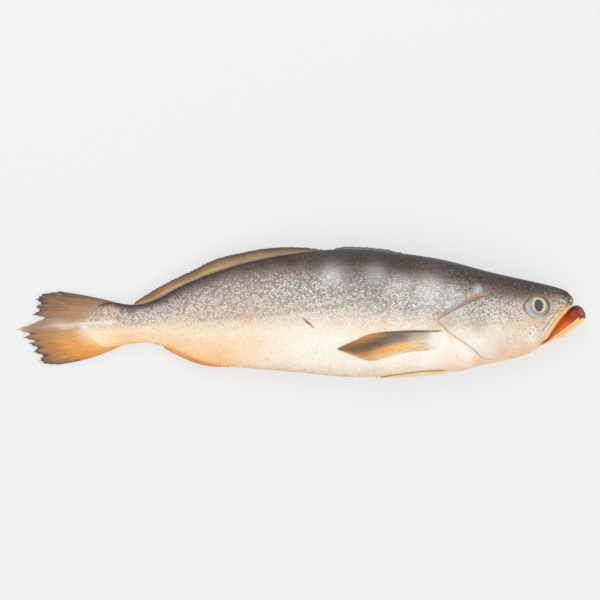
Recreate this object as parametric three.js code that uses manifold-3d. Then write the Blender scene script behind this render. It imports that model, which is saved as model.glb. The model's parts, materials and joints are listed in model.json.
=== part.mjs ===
// A whole raw fish of the croaker family, lying on its left side on a flat surface.
// Millimetres. +X points to the snout, +Y to the back and +Z up, out of the fish's right side.
// The origin is under the middle of the fish, on the surface that it lies on.
import * as THREE from "three";
import { ParametricGeometry } from "three/addons/geometries/ParametricGeometry.js";
import { mergeGeometries, mergeVertices } from "three/addons/utils/BufferGeometryUtils.js";
import Module from "manifold-3d";

// ---- Driving dimensions -------------------------------------------------------------------

const fish = {
  length: 450, // tip of the tail fin to tip of the lower jaw
  depth: 100, // back to belly where the trunk is deepest, without fins
  thickness: 54, // side to side where the trunk is thickest
};
// The outlines below are drawn for a fish of these sizes, and are stretched to the ones above.
const drawn = { length: 450, depth: 100, thickness: 54 };

const clearance = 0.3; // between a fin, eye or jaw and the body that it grows from
const finSink = 2.5; // how far a fin's root is drawn into the body before it is cut to it
const tidyStep = 0.04; // faces smaller than this, left by the cuts, are merged away

const eye = {
  across: 25, // diameter of the eyeball, of which the socket shows about four fifths
  deep: 11, // its depth, side to side
  bulge: 2.2, // how far the cornea stands out of the cheek
  at: [187.5, 5.2], // centre, on the drawn outline
};
const mouthWall = 2.6; // flesh left round the hollow of the mouth
const gillCoverThickness = 1.5;
const fins = {
  dorsalThickness: 3.2,
  spineThickness: 3.4,
  analThickness: 2.8,
  tailThickness: 2.6,
  pectoralThickness: 1.7,
  pelvicThickness: 2.2,
  pelvicWidth: 0.34, // angle round the belly that a pelvic fin covers, in radians
  pelvicInset: 0.07, // angle between the belly's midline and its inner edge
};

// ---- Outlines: [along the fish, up the fish] in drawn millimetres ------------------------------

const backLine = [
  [-170, 3], [-152, 8.2], [-131, 6.2], [-114, 9.5], [-93, 20.5], [-66, 31.5], [-35, 40.5], [7, 47.8],
  [38, 49.8], [75, 47.2], [113, 41.6], [151, 31.8], [188, 23.6], [203, 19.8], [216, 12.5],
];
const bellyLine = [
  [-170, -22], [-154, -27.2], [-131, -24.3], [-116, -24], [-94, -31], [-72, -39.5], [-35, -43.8],
  [0, -46.6], [32, -49.7], [70, -50], [113, -46.3], [128, -45.6], [141, -41.6], [160, -37.9], [179, -32.7],
  [190, -25], [197, -14.5], [205, -4], [216, 5.5],
];
// Half the thickness, side to side.
const widthLine = [
  [-172, 1.8], [-150, 4.6], [-131, 6.6], [-93, 10.8], [-60, 15.4], [-20, 21], [30, 25.7],
  [75, 27], [113, 26.5], [145, 23.6], [170, 19.3], [190, 14.8], [205, 10.4], [216, 6.2],
];
// Height of the fish's middle plane above the surface. The tail sags until it lies down.
const middleLine = [
  [-225, 1.3], [-190, 1.8], [-165, 3.8], [-131, 7.6], [-93, 11.6], [-60, 15.6], [-20, 20.6],
  [30, 24.6], [75, 25.8], [113, 25.6], [145, 24], [190, 20.5], [225, 18],
];
// The lower jaw runs from its lip down to its chin. The mouth's floor shows above the lip.
const lipLine = [
  [184, -26], [193, -20.5], [201.5, -11.5], [210, -6.8], [217, -2.8], [220.5, 4.6], [225, 3],
];
const chinLine = [
  [184, -31], [190, -26.8], [198, -21.8], [206, -18.8], [213, -14.4], [220.5, -9.2], [225, -3],
];
const mouthFloorLine = [[186, -23], [193, -17], [200, -8.5], [206, -3], [212, 1.6], [219, 4]];
const jawWidthLine = [[184, 11], [193, 12.2], [203, 10.6], [213, 8], [221, 5.6], [225, 3.4]];

const softDorsalCrest = [
  [-131, 7], [-121, 13.6], [-103, 24], [-84, 33], [-66, 41.8], [-47, 46.6], [-26, 50.4], [-5, 51.3],
  [13, 50.2], [26, 48.4],
];
const spinyDorsalCrest = [[26, 49.6], [36, 51.6], [52, 51], [68, 49.4], [86, 46]];
const analFinKeel = [[-108, -26.3], [-98, -32.3], [-84, -38.6], [-70, -41.9], [-50, -42.8]];

// The tail fin's ragged rear edge, from its top corner down: ray tips and the splits between them.
const tailEdge = [
  [-190, 17], [-204, 15], [-209, 10.4], [-205, 7.4], [-209.4, 4.8], [-206, 2.2], [-212, -1.6], [-201, -4],
  [-214, -9.6], [-225, -13.3], [-213, -17.2], [-219.5, -19.9], [-209, -22.8], [-215.5, -24.2],
  [-207.5, -28], [-211.5, -31.2], [-203.5, -34], [-206.5, -38.2], [-203, -40.6], [-192, -41.4],
];
const tailRoot = [[-140, 8], [-158, 7], [-163, -1], [-164, -10], [-163, -19], [-158, -27], [-146, -26]];

// A gill cover's upper and lower edges, from its root on the cheek back to its tip.
const coverUpper = [[166, 9], [155, 12.6], [145, 13], [127, 5.4], [107.5, -5]];
const coverLower = [[168, -29], [156, -35.4], [145, -35.2], [134, -26.6], [118, -15.6], [107.5, -5.6]];

// A pectoral fin's upper and lower edges, from its root back to its tip.
const pectoralUpper = [[113, -13.4], [100, -13.4], [80, -13.6], [58, -15.4], [44, -21], [30, -27.6]];
const pectoralLower = [[111, -27], [100, -29], [84, -30.6], [70, -34.6], [55, -37], [30, -27.8]];
const pelvicRoot = 121;
const pelvicTip = 64;

// ---- Curves ------------------------------------------------------------------------------------

const stretch = {
  x: fish.length / drawn.length,
  y: fish.depth / drawn.depth,
  z: fish.thickness / drawn.thickness,
};

// A smooth height over x through drawn points, with straight ends.
function heightOver(points, scale) {
  const p = points.map(([x, h]) => [x * stretch.x, h * scale]);
  const slope = p.map((_, i) => {
    const a = p[Math.max(i - 1, 0)];
    const b = p[Math.min(i + 1, p.length - 1)];
    return (b[1] - a[1]) / (b[0] - a[0]);
  });
  return (x) => {
    let i = 0;
    while (i < p.length - 2 && x > p[i + 1][0]) i++;
    const span = p[i + 1][0] - p[i][0];
    const t = THREE.MathUtils.clamp((x - p[i][0]) / span, 0, 1);
    const a = p[i][1] * (1 + 2 * t) * (1 - t) ** 2 + slope[i] * span * t * (1 - t) ** 2;
    const b = p[i + 1][1] * t * t * (3 - 2 * t) - slope[i + 1] * span * t * t * (1 - t);
    return a + b;
  };
}

// A point at share t along drawn points, joined by straight lines or by a smooth curve.
function pathThrough(points, smooth) {
  const p = points.map(([x, y]) => new THREE.Vector3(x * stretch.x, y * stretch.y, 0));
  const curve = new THREE.CatmullRomCurve3(p, false, "centripetal");
  return (t) => {
    if (smooth) return curve.getPoint(t);
    const k = Math.min(Math.floor(t * (p.length - 1)), p.length - 2);
    return p[k].clone().lerp(p[k + 1], t * (p.length - 1) - k);
  };
}

const back = heightOver(backLine, stretch.y);
const belly = heightOver(bellyLine, stretch.y);
const halfWidth = heightOver(widthLine, stretch.z);
const sag = heightOver(middleLine, stretch.z);
const middle = (x) => Math.max(sag(x), fins.tailThickness / 2);

// ---- The body's skin ---------------------------------------------------------------------------

const flankFullness = 0.1; // how much thicker a section is above its middle than below
const snoutRound = 9 * stretch.x; // length over which the snout closes
const tailRound = 7 * stretch.x; // length over which the flesh of the tail closes
const snoutEnd = backLine.at(-1)[0] * stretch.x;
const bodyEnd = backLine[0][0] * stretch.x;

// 1 along the body and falling to 0 at the snout and the tail as an ellipse does.
function endShare(x) {
  const snout = THREE.MathUtils.clamp((x - snoutEnd + snoutRound) / snoutRound, 0, 1);
  const tail = THREE.MathUtils.clamp((bodyEnd + tailRound - x) / tailRound, 0, 1);
  return Math.sqrt(1 - snout * snout) * Math.sqrt(1 - tail * tail);
}

// A point of the skin: turn is 0 on the back, a quarter turn on the right side and half a turn on the belly.
function skin(x, turn, grow = 0) {
  const share = endShare(x);
  const half = ((back(x) - belly(x)) / 2) * share + grow * Math.sign(share);
  const wide = halfWidth(x) * share + grow * Math.sign(share);
  const fuller = 1 + flankFullness * Math.cos(turn);
  const y = (back(x) + belly(x)) / 2 + half * Math.cos(turn);
  const z = middle(x) + wide * Math.sin(turn) * fuller;
  return new THREE.Vector3(x, y, z);
}

// The turn at which the skin on side 1 (right) or -1 (left) has height y.
function turnAt(x, y, side) {
  const half = (back(x) - belly(x)) / 2;
  const share = THREE.MathUtils.clamp((y - (back(x) + belly(x)) / 2) / half, -1, 1);
  return side * Math.acos(share);
}

function skinNormal(x, turn) {
  const step = 0.01;
  const alongX = skin(x + step, turn).sub(skin(x - step, turn));
  const round = skin(x, turn + step).sub(skin(x, turn - step));
  return round.cross(alongX).normalize();
}

// A point lifted off the skin along its normal, no lower than the surface that the fish lies on.
function offSkin(x, turn, lift, lowest) {
  const p = skin(x, turn).addScaledVector(skinNormal(x, turn), lift);
  p.z = Math.max(p.z, lowest);
  return p;
}

// ---- Solids ------------------------------------------------------------------------------------

const wasm = await Module();
wasm.setup();

function toSolid(geometry) {
  const bare = geometry.clone();
  bare.deleteAttribute("normal");
  bare.deleteAttribute("uv");
  const merged = mergeVertices(bare, 1e-3);
  return new wasm.Manifold(
    new wasm.Mesh({
      numProp: 3,
      vertProperties: new Float32Array(merged.attributes.position.array),
      triVerts: new Uint32Array(merged.index.array),
    }),
  );
}

function toGeometry(solid) {
  const mesh = solid.getMesh();
  const geometry = new THREE.BufferGeometry();
  geometry.setAttribute("position", new THREE.BufferAttribute(mesh.vertProperties, 3));
  geometry.setIndex(new THREE.BufferAttribute(mesh.triVerts, 1));
  geometry.computeVertexNormals();
  return geometry;
}

// The whole body swollen by grow, with its underside pressed flat where it meets the surface.
function bodySolid(grow) {
  const stations = 60;
  const facesRound = 30;
  const bunching = 0.12;
  const skinPoint = (along, turn, target) => {
    // Stations bunch towards the two ends, whose rings are points.
    const ends = along === 0 || along === 1;
    const x = THREE.MathUtils.lerp(bodyEnd, snoutEnd, along - bunching * Math.sin(2 * Math.PI * along));
    const core = new THREE.Vector3(x, (back(x) + belly(x)) / 2, middle(x));
    const p = ends ? core : skin(x, -turn * 2 * Math.PI, grow);
    target.set(x + grow * (2 * along - 1) ** 3, p.y, Math.max(p.z, -grow));
  };
  return toSolid(new ParametricGeometry(skinPoint, stations, facesRound));
}

// A thin blade over a grid. place(s, t, lift) gives a point lifted off its middle surface.
// It is thickness thick inside and comes to an edge all round.
function blade(place, thickness, lengths, widths) {
  const edge = (share) => Math.min(1, 5 * share, 5 * (1 - share));
  const face = (side) => (s, t, target) => {
    const across = side > 0 ? t : 1 - t;
    target.copy(place(s, across, (side * thickness * edge(s) * edge(across)) / 2));
  };
  const faces = [1, -1].map((side) => new ParametricGeometry(face(side), lengths, widths));
  const solid = toSolid(mergeGeometries(faces));
  return solid.volume() > 0 ? solid : toSolid(turned(mergeGeometries(faces)));
}

function turned(geometry) {
  const index = geometry.index.array;
  for (let i = 0; i < index.length; i += 3) [index[i], index[i + 1]] = [index[i + 1], index[i]];
  return geometry;
}

// A fin that stands in the fish's middle plane, from its root line out to its drawn outer edge.
function middleFin(outerEdge, rootLine, thickness, steps) {
  const outer = heightOver(outerEdge, stretch.y);
  const place = (s, t, lift) => {
    const x = THREE.MathUtils.lerp(outerEdge[0][0], outerEdge.at(-1)[0], s) * stretch.x;
    return new THREE.Vector3(x, THREE.MathUtils.lerp(rootLine(x), outer(x), t), middle(x) + lift);
  };
  return blade(place, thickness, steps, 5);
}

// A flattened ball seated square in the cheek on side 1 (right) or -1 (left).
function eyeball(side, grow) {
  const x = eye.at[0] * stretch.x;
  const turn = turnAt(x, eye.at[1] * stretch.y, side);
  const centre = offSkin(x, turn, eye.bulge - eye.deep / 2, 0);
  const ball = new THREE.SphereGeometry(1, 22, 14).rotateX(Math.PI / 2);
  ball.scale(eye.across / 2 + grow, eye.across / 2 + grow, eye.deep / 2 + grow);
  const out = new THREE.Vector3(0, 0, 1);
  ball.applyQuaternion(new THREE.Quaternion().setFromUnitVectors(out, skinNormal(x, turn)));
  return toSolid(ball.translate(centre.x, centre.y, centre.z));
}

// ---- Pieces --------------------------------------------------------------------------------------

const swollenBody = bodySolid(clearance);

// A blade that lies on the flank between two edges, with its front end rooted in the body.
function flankBlade(side, upperEdge, lowerEdge, thickness, lengths, widths) {
  const upper = pathThrough(upperEdge, true);
  const lower = pathThrough(lowerEdge, true);
  const place = (s, t, lift) => {
    const p = upper(s).lerp(lower(s), t);
    const root = THREE.MathUtils.smoothstep(s, 0, 0.12);
    const rise = THREE.MathUtils.lerp(-finSink, clearance + thickness / 2, root);
    const inMiddle = offSkin(p.x, turnAt(p.x, p.y, side), rise, thickness / 2);
    return inMiddle.setZ(inMiddle.z + lift);
  };
  return blade(place, thickness, lengths, widths);
}

function pectoralFin(side) {
  return flankBlade(side, pectoralUpper, pectoralLower, fins.pectoralThickness, 16, 6);
}

function coverOfGill(side) {
  return flankBlade(side, coverUpper, coverLower, gillCoverThickness, 14, 10);
}

// The bed that a blade lies in where the fish's weight presses it into the flank. It is open below.
function bedOf(solid) {
  const deep = 3 * clearance + gillCoverThickness;
  const room = new THREE.CylinderGeometry(clearance, clearance, deep, 8).rotateX(Math.PI / 2);
  return solid.minkowskiSum(toSolid(room.translate(0, 0, clearance - deep / 2)));
}

function pelvicFin(side) {
  const place = (s, t, lift) => {
    const x = THREE.MathUtils.lerp(pelvicRoot, pelvicTip, s) * stretch.x;
    const spread = fins.pelvicWidth * Math.sin(Math.PI * Math.min(0.2 + 0.6 * s, 1 - 0.35 * s));
    const turn = Math.PI - fins.pelvicInset - spread * t;
    const root = THREE.MathUtils.smoothstep(s, 0, 0.15);
    const rise = THREE.MathUtils.lerp(-finSink, clearance + fins.pelvicThickness / 2, root);
    return offSkin(x, side * turn, rise + lift, 0);
  };
  return blade(place, fins.pelvicThickness, 12, 4);
}

function tailFin() {
  const root = pathThrough(tailRoot, true);
  const edge = pathThrough(tailEdge, false);
  const place = (s, t, lift) => {
    const p = root(t).lerp(edge(t), s);
    return p.setZ(middle(p.x) + lift);
  };
  return blade(place, fins.tailThickness, 8, tailEdge.length - 1);
}

const inBack = (x) => back(x) - finSink;
const inBelly = (x) => belly(x) + finSink;

function softDorsalFin() {
  return middleFin(softDorsalCrest, inBack, fins.dorsalThickness, 30);
}

function spinyDorsalFin() {
  return middleFin(spinyDorsalCrest, inBack, fins.spineThickness, 12);
}

function analFin() {
  return middleFin(analFinKeel, inBelly, fins.analThickness, 12);
}

// A closed form between a lower and an upper height over x, for the jaw, the mouth and its floor.
function lobe(from, to, low, high, wide) {
  const shape = (along, turn, target) => {
    const x = THREE.MathUtils.lerp(from, to, 1 - (1 - along) ** 1.4);
    const share = Math.sqrt(Math.max(1 - (2 * along - 1) ** 8, 0));
    const angle = -turn * 2 * Math.PI;
    const y = (high(x) + low(x)) / 2 + ((high(x) - low(x)) / 2) * Math.cos(angle) * share;
    target.set(x, y, middle(x) + wide(x) * Math.sin(angle) * share);
  };
  return toSolid(new ParametricGeometry(shape, 20, 16));
}

const lip = heightOver(lipLine, stretch.y);
const chin = heightOver(chinLine, stretch.y);
const jawWidth = heightOver(jawWidthLine, stretch.z);
const jawFrom = lipLine[0][0] * stretch.x;
const jawTo = lipLine.at(-1)[0] * stretch.x;
const mouthTo = mouthFloorLine.at(-1)[0] * stretch.x;

// The hollow of the mouth, cut from both the head and the lower jaw. inset draws its walls in.
function mouthHollow(inset) {
  const wall = mouthWall + inset;
  const high = (x) => Math.max(belly(x), lip(x)) + mouthWall - inset;
  return lobe(jawFrom + inset, mouthTo - inset, (x) => chin(x) + wall, high, (x) => jawWidth(x) - wall);
}

// The floor of the mouth with the tongue on it, which fills the lower part of the hollow.
function mouthFloor() {
  const low = (x) => chin(x) - jawWidth(x);
  const high = heightOver(mouthFloorLine, stretch.y);
  const crowned = lobe(jawFrom, jawTo, low, high, (x) => 2 * jawWidth(x));
  return mouthHollow(clearance).intersect(crowned);
}

const right = 1;
const left = -1;
const hollow = mouthHollow(0);
const leftPectoral = pectoralFin(left);
const leftCover = coverOfGill(left);

// The body without the slivers that the beds leave loose under the edges of the blades.
function body() {
  const sockets = [right, left].map((side) => eyeball(side, clearance));
  const cuts = [...sockets, hollow, bedOf(leftPectoral), bedOf(leftCover)];
  const cut = cuts.reduce((solid, tool) => solid.subtract(tool), bodySolid(0));
  return cut.simplify(tidyStep).decompose().sort((a, b) => b.volume() - a.volume())[0];
}

const freeOfBody = (solid) => solid.subtract(swollenBody);
const lowerJaw = freeOfBody(lobe(jawFrom, jawTo, chin, lip, jawWidth)).subtract(hollow);

const skinFinish = { color: 0xa9a099, roughness: 0.35, metalness: 0.25 };
const finFinish = { color: 0x9a6a3c, roughness: 0.5, metalness: 0 };
const goldFinish = { color: 0xe0a050, roughness: 0.5, metalness: 0 };
const jawFinish = { color: 0xe2a878, roughness: 0.4, metalness: 0 };
const mouthFinish = { color: 0xd05818, roughness: 0.35, metalness: 0 };
const eyeFinish = { color: 0x6a6c6c, roughness: 0.08, metalness: 0 };

const pieces = [
  ["body", body(), skinFinish],
  ["lower_jaw", lowerJaw, jawFinish],
  ["mouth_floor", freeOfBody(mouthFloor()), mouthFinish],
  ["right_gill_cover", freeOfBody(coverOfGill(right)), skinFinish],
  ["left_gill_cover", leftCover, skinFinish],
  ["right_eye", eyeball(right, 0), eyeFinish],
  ["left_eye", eyeball(left, 0), eyeFinish],
  ["spiny_dorsal_fin", freeOfBody(spinyDorsalFin()), finFinish],
  ["soft_dorsal_fin", freeOfBody(softDorsalFin()), finFinish],
  ["tail_fin", freeOfBody(tailFin()), finFinish],
  ["anal_fin", freeOfBody(analFin()), goldFinish],
  ["right_pectoral_fin", freeOfBody(pectoralFin(right)), finFinish],
  ["left_pectoral_fin", leftPectoral, finFinish],
  ["right_pelvic_fin", freeOfBody(pelvicFin(right)), goldFinish],
  ["left_pelvic_fin", freeOfBody(pelvicFin(left)), goldFinish],
];

const wholeFish = new THREE.Group();
for (const [name, solid, finish] of pieces) {
  const mesh = new THREE.Mesh(toGeometry(solid), new THREE.MeshStandardMaterial(finish));
  mesh.name = name;
  wholeFish.add(mesh);
}

export default wholeFish;
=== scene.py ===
import bmesh
import bpy
import functools
import json
import math
import numpy as np
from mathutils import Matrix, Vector
from mathutils.bvhtree import BVHTree

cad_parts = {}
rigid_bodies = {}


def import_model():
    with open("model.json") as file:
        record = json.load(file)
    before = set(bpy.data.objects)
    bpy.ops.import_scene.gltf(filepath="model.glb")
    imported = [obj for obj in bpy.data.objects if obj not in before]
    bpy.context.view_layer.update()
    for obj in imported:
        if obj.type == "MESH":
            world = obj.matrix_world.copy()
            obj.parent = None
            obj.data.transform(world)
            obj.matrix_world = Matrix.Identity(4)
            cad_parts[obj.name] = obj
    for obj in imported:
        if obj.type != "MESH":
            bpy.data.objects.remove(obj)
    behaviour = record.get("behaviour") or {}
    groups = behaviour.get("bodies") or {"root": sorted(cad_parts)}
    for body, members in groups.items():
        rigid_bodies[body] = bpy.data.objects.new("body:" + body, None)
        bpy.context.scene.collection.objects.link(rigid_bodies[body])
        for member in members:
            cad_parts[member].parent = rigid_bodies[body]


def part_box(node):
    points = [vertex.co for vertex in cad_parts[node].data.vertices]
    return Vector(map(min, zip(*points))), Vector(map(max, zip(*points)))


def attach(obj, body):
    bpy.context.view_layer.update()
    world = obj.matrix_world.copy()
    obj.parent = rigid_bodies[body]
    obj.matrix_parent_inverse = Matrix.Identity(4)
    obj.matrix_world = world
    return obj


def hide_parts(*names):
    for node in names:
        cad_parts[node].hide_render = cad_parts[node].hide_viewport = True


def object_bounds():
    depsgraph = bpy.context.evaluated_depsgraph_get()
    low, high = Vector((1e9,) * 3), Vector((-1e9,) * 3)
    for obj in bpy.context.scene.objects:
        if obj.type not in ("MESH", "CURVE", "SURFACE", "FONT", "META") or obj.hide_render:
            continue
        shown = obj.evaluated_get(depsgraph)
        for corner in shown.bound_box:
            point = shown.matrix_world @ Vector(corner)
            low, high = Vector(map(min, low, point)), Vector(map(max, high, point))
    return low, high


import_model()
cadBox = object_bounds()
scene = bpy.context.scene
mm = 0.001
print("frame loaded")


def centreOf(node):
    # the middle of a modelled part, in mm
    low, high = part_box(node)
    return [(a + b) / 2 / mm for a, b in zip(low, high)]


def smooth(low, high, x):
    # 0 at low and 1 at high, eased
    t = np.clip((np.asarray(x, float) - low) / (high - low), 0, 1)
    return t * t * (3 - 2 * t)


def heightOver(points):
    # a smooth height over x, in mm, through the points given
    px, ph = np.array(points, float).T
    last = len(px) - 1
    before = np.maximum(np.arange(last + 1) - 1, 0)
    after = np.minimum(np.arange(last + 1) + 1, last)
    slope = (ph[after] - ph[before]) / (px[after] - px[before])

    def height(x):
        x = np.asarray(x, float)
        i = np.clip(np.searchsorted(px, x) - 1, 0, last - 1)
        span = px[i + 1] - px[i]
        t = np.clip((x - px[i]) / span, 0, 1)
        a = ph[i] * (1 + 2 * t) * (1 - t) ** 2 + slope[i] * span * t * (1 - t) ** 2
        b = ph[i + 1] * t * t * (3 - 2 * t) - slope[i + 1] * span * t * t * (1 - t)
        return a + b

    return height


def pathThrough(points, straight=False):
    # a point at share t along the points given, as two arrays
    p = np.array(points, float)
    steps = np.linspace(0, 1, len(p))
    if straight:
        return lambda t: (np.interp(t, steps, p[:, 0]), np.interp(t, steps, p[:, 1]))
    ways = [heightOver(list(zip(steps, p[:, k]))) for k in (0, 1)]
    return lambda t: (ways[0](t), ways[1](t))


def distanceTo(x, y, points):
    # distance from every (x, y) to a line through the points, and the share along it
    x, y = np.asarray(x, float), np.asarray(y, float)
    best = np.full(x.shape, 1e9)
    along = np.zeros(x.shape)
    for k in range(len(points) - 1):
        (ax, ay), (bx, by) = points[k], points[k + 1]
        dx, dy = bx - ax, by - ay
        t = np.clip(((x - ax) * dx + (y - ay) * dy) / (dx * dx + dy * dy), 0, 1)
        d = np.hypot(x - ax - t * dx, y - ay - t * dy)
        along = np.where(d < best, (k + t) / (len(points) - 1), along)
        best = np.minimum(best, d)
    return best, along


def insideOf(x, y, ring):
    # distance inside a closed outline, negative outside it
    x, y = np.asarray(x, float), np.asarray(y, float)
    within = np.zeros(x.shape, bool)
    for (ax, ay), (bx, by) in zip(ring, ring[1:] + ring[:1]):
        crosses = (ay > y) != (by > y)
        reach = ax + (y - ay) * (bx - ax) / (by - ay + 1e-12)
        within ^= crosses & (x < reach)
    d, _ = distanceTo(x, y, ring + ring[:1])
    return np.where(within, d, -d)


def bell(distance, width):
    # 1 at no distance, falling off over the width
    return np.exp(-((distance / width) ** 2))


def ripple(x, y, size, seed):
    # slow, seeded unevenness from -1 to 1 with the given wavelength
    rng = np.random.default_rng(seed)
    total = 0
    waves = 7
    for _ in range(waves):
        turn, phase = rng.uniform(0, 2 * math.pi, 2)
        wave = 2 * math.pi / (size * rng.uniform(0.7, 1.6))
        total = total + np.sin(wave * (x * math.cos(turn) + y * math.sin(turn)) + phase)
    return total / waves * 1.6


# the fish's form, in mm: x runs to the snout, y to the back, z up
fishForm = {
    "back": [(-170, 3), (-152, 8.2), (-131, 6.2), (-114, 9.5), (-93, 20.5), (-66, 31.5), (-35, 40.5), (7, 47.8),
             (38, 49.8), (75, 47.2), (113, 41.6), (151, 31.8), (188, 23.6), (203, 19.9), (210, 17.2),
             (216, 13.8)],
    "belly": [(-170, -22), (-154, -27.2), (-131, -24.3), (-116, -24), (-94, -31), (-72, -39.5), (-35, -43.8),
              (0, -46.6), (32, -49.7), (70, -50), (113, -46.3), (128, -45.6), (141, -41.6), (160, -37.9),
              (179, -32.7), (187, -28.2), (191, -25.2), (193, -22.4), (196.8, -15.8), (201, -9.9),
              (204.1, -5.8), (208.3, -1.2), (211.4, 1.6), (216, 5.5)],
    "halfWidth": [(-172, 1.8), (-150, 4.6), (-131, 6.6), (-93, 10.8), (-60, 15.4), (-20, 21), (30, 25.7),
                  (75, 27), (113, 26.5), (145, 23.6), (170, 19.3), (190, 14.8), (205, 10.4), (216, 6.2)],
    "middle": [(-225, 1.3), (-190, 1.8), (-165, 3.8), (-131, 7.6), (-93, 11.6), (-60, 15.6), (-20, 20.6),
               (30, 24.6), (75, 25.8), (113, 25.6), (145, 24), (190, 20.5), (225, 18)],
    "tailRound": 19, "snoutRound": 7.5, "flankFullness": 0.1,
    "palateRise": 4.5, "lipAt": 0.6, "lipTuck": 0.22, "gape": (189.5, 195.5),
}
eyeForm = {
    "off": (-0.9, -0.4), "opening": (10.1, 7.6), "across": 11.8, "bulge": 2.2,
    "irisAt": (0.85, 1.5), "iris": 6.5, "pupil": (3.75, 4.8),
}
eyeForm["at"] = tuple(c + off for c, off in zip(centreOf("right_eye"), eyeForm["off"]))
coverForm = {
    "upper": [(166, 9), (155, 12.6), (145, 13), (127, 5.4), (107.5, -5)],
    "lower": [(168, -29), (156, -35.4), (145, -35.2), (134, -26.6), (118, -15.6), (107.5, -5.6)],
    "plate": [(160, 3), (152, -1), (146, -7), (140, -13), (150, -22), (158, -20), (164, -10)],
    "rise": 1.15, "thick": 1.0, "length": 58, "edgeWave": 0.5, "waves": 34, "columns": 90, "rows": 84,
}
mouthEdge = [(215, 5.6), (208.3, -0.9), (201, -9.6), (196.8, -15.5), (192.4, -23)]
shoulderEdge = [(113, -10), (117.5, -17), (120, -28), (124, -36.6), (132, -40)]

back, belly = heightOver(fishForm["back"]), heightOver(fishForm["belly"])
halfWidth = heightOver(fishForm["halfWidth"])
middleOf = heightOver(fishForm["middle"])
tailEnd, snoutEnd = fishForm["back"][0][0], fishForm["back"][-1][0]


def endShare(x):
    # how much of the full cross section is left near the two ends
    snout = np.clip((x - snoutEnd + fishForm["snoutRound"]) / fishForm["snoutRound"], 0, 1)
    tail = np.clip((tailEnd + fishForm["tailRound"] - x) / fishForm["tailRound"], 0, 1)
    return np.sqrt(1 - snout**2) * np.sqrt(1 - tail**2)


def lipShare(x, turn):
    # how far down to the lip a point is, how far in past it, and how open the mouth is there
    k = np.clip((np.abs(turn) - math.pi / 2) / (math.pi / 2), 0, 1)
    lip = fishForm["lipAt"]
    return np.clip(k / lip, 0, 1), np.clip((k - lip) / (1 - lip), 0, 1), smooth(*fishForm["gape"], x)


def skin(x, turn):
    # turn is 0 on the back, a quarter on the right side, minus a quarter on the left
    x, turn = np.broadcast_arrays(np.asarray(x, float), np.asarray(turn, float))
    share = endShare(x)
    mid = (back(x) + belly(x)) / 2
    half = (back(x) - belly(x)) / 2 * share
    wide = halfWidth(x) * share ** np.where(x < 0, 1.5, 1)
    c, s = np.cos(turn), np.sin(turn)
    y = mid + half * c
    z = wide * s * (1 + fishForm["flankFullness"] * c)
    down, inward, jawed = lipShare(x, turn)
    palate = fishForm["palateRise"] * share * np.sin(math.pi / 2 * inward)
    yLip = mid - half * np.sin(math.pi / 2 * down) + palate
    zLip = np.sign(s) * wide * (1 - fishForm["lipTuck"] * down**2) * (1 - inward)
    lower = np.where(np.abs(turn) > math.pi / 2, jawed, 0)
    return np.stack([x, y + (yLip - y) * lower, middleOf(x) + z + (zLip - z) * lower], -1)


def turnAt(x, y, side):
    # the turn at which the skin of that side passes over (x, y)
    half = (back(x) - belly(x)) / 2
    return side * np.arccos(np.clip((y - (back(x) + belly(x)) / 2) / half, -1, 1))


def normalAt(x, turn):
    # the way out of the skin
    d = 0.02
    n = np.cross(skin(x, turn + d) - skin(x, turn - d), skin(x + d * 10, turn) - skin(x - d * 10, turn))
    return n / np.maximum(np.linalg.norm(n, axis=-1, keepdims=True), 1e-9)


def upShare(x, y):
    # 0 on the belly's edge, 1 on the back's
    return np.clip((y - belly(x)) / (back(x) - belly(x)), 0, 1)


def eyeReach(x, y):
    # distance out from the rim of the eye's opening, negative inside it
    wide, high = eyeForm["opening"]
    r = np.hypot((x - eyeForm["at"][0]) / wide, (y - eyeForm["at"][1]) / high)
    return (r - 1) * (wide + high) / 2


def ringOf(upper, lower):
    # a closed outline from two paths that run the same way
    shares = np.linspace(0, 1, 25)
    return list(zip(*upper(shares))) + list(zip(*lower(shares)))[::-1]


pectoralForm = {
    "upper": [(113, -13.4), (100, -13.4), (80, -13.6), (58, -15.4), (44, -21), (30, -27.6)],
    "lower": [(111, -27), (100, -29), (84, -30.6), (70, -34.6), (55, -37), (30, -27.8)],
    "ridges": 15, "rays": 16, "fray": 1.32, "sunk": -0.9, "rise": 1.6, "rayRise": 1.9, "lowEdge": 0.75,
    "rayRadius": 0.4, "rayTip": 0.13, "fork": 0.013,
}
coverPath = [pathThrough(coverForm[k]) for k in ("upper", "lower")]
pectoralPath = [pathThrough(pectoralForm[k]) for k in ("upper", "lower")]
coverRing, pectoralRing = ringOf(*coverPath), ringOf(*pectoralPath)
headRelief = {
    # distance from the mouth's edge, height or depth, width
    "folds": [(1.5, 0.7, 1.0), (4.8, 0.55, 1.1), (7.4, 0.4, 0.6), (9.2, 0.38, 0.6), (11.0, 0.34, 0.6),
              (12.8, 0.28, 0.6)],
    "grooves": [(3.1, 0.5, 0.5), (6.3, 0.75, 0.5), (8.3, 0.5, 0.4), (10.1, 0.6, 0.4), (11.9, 0.45, 0.4),
                (13.6, 0.35, 0.4)],
    "nostrils": [(199.5, 9.5, 1.3), (203, 8.8, 0.8)],  # x, y, size
    "cheekBone": [(164, 10), (158, 0), (154, -12), (157, -22), (168, -29)],
    "socketDepth": 4.5, "brow": 0.8, "slitDepth": 1.1,
}


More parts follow.
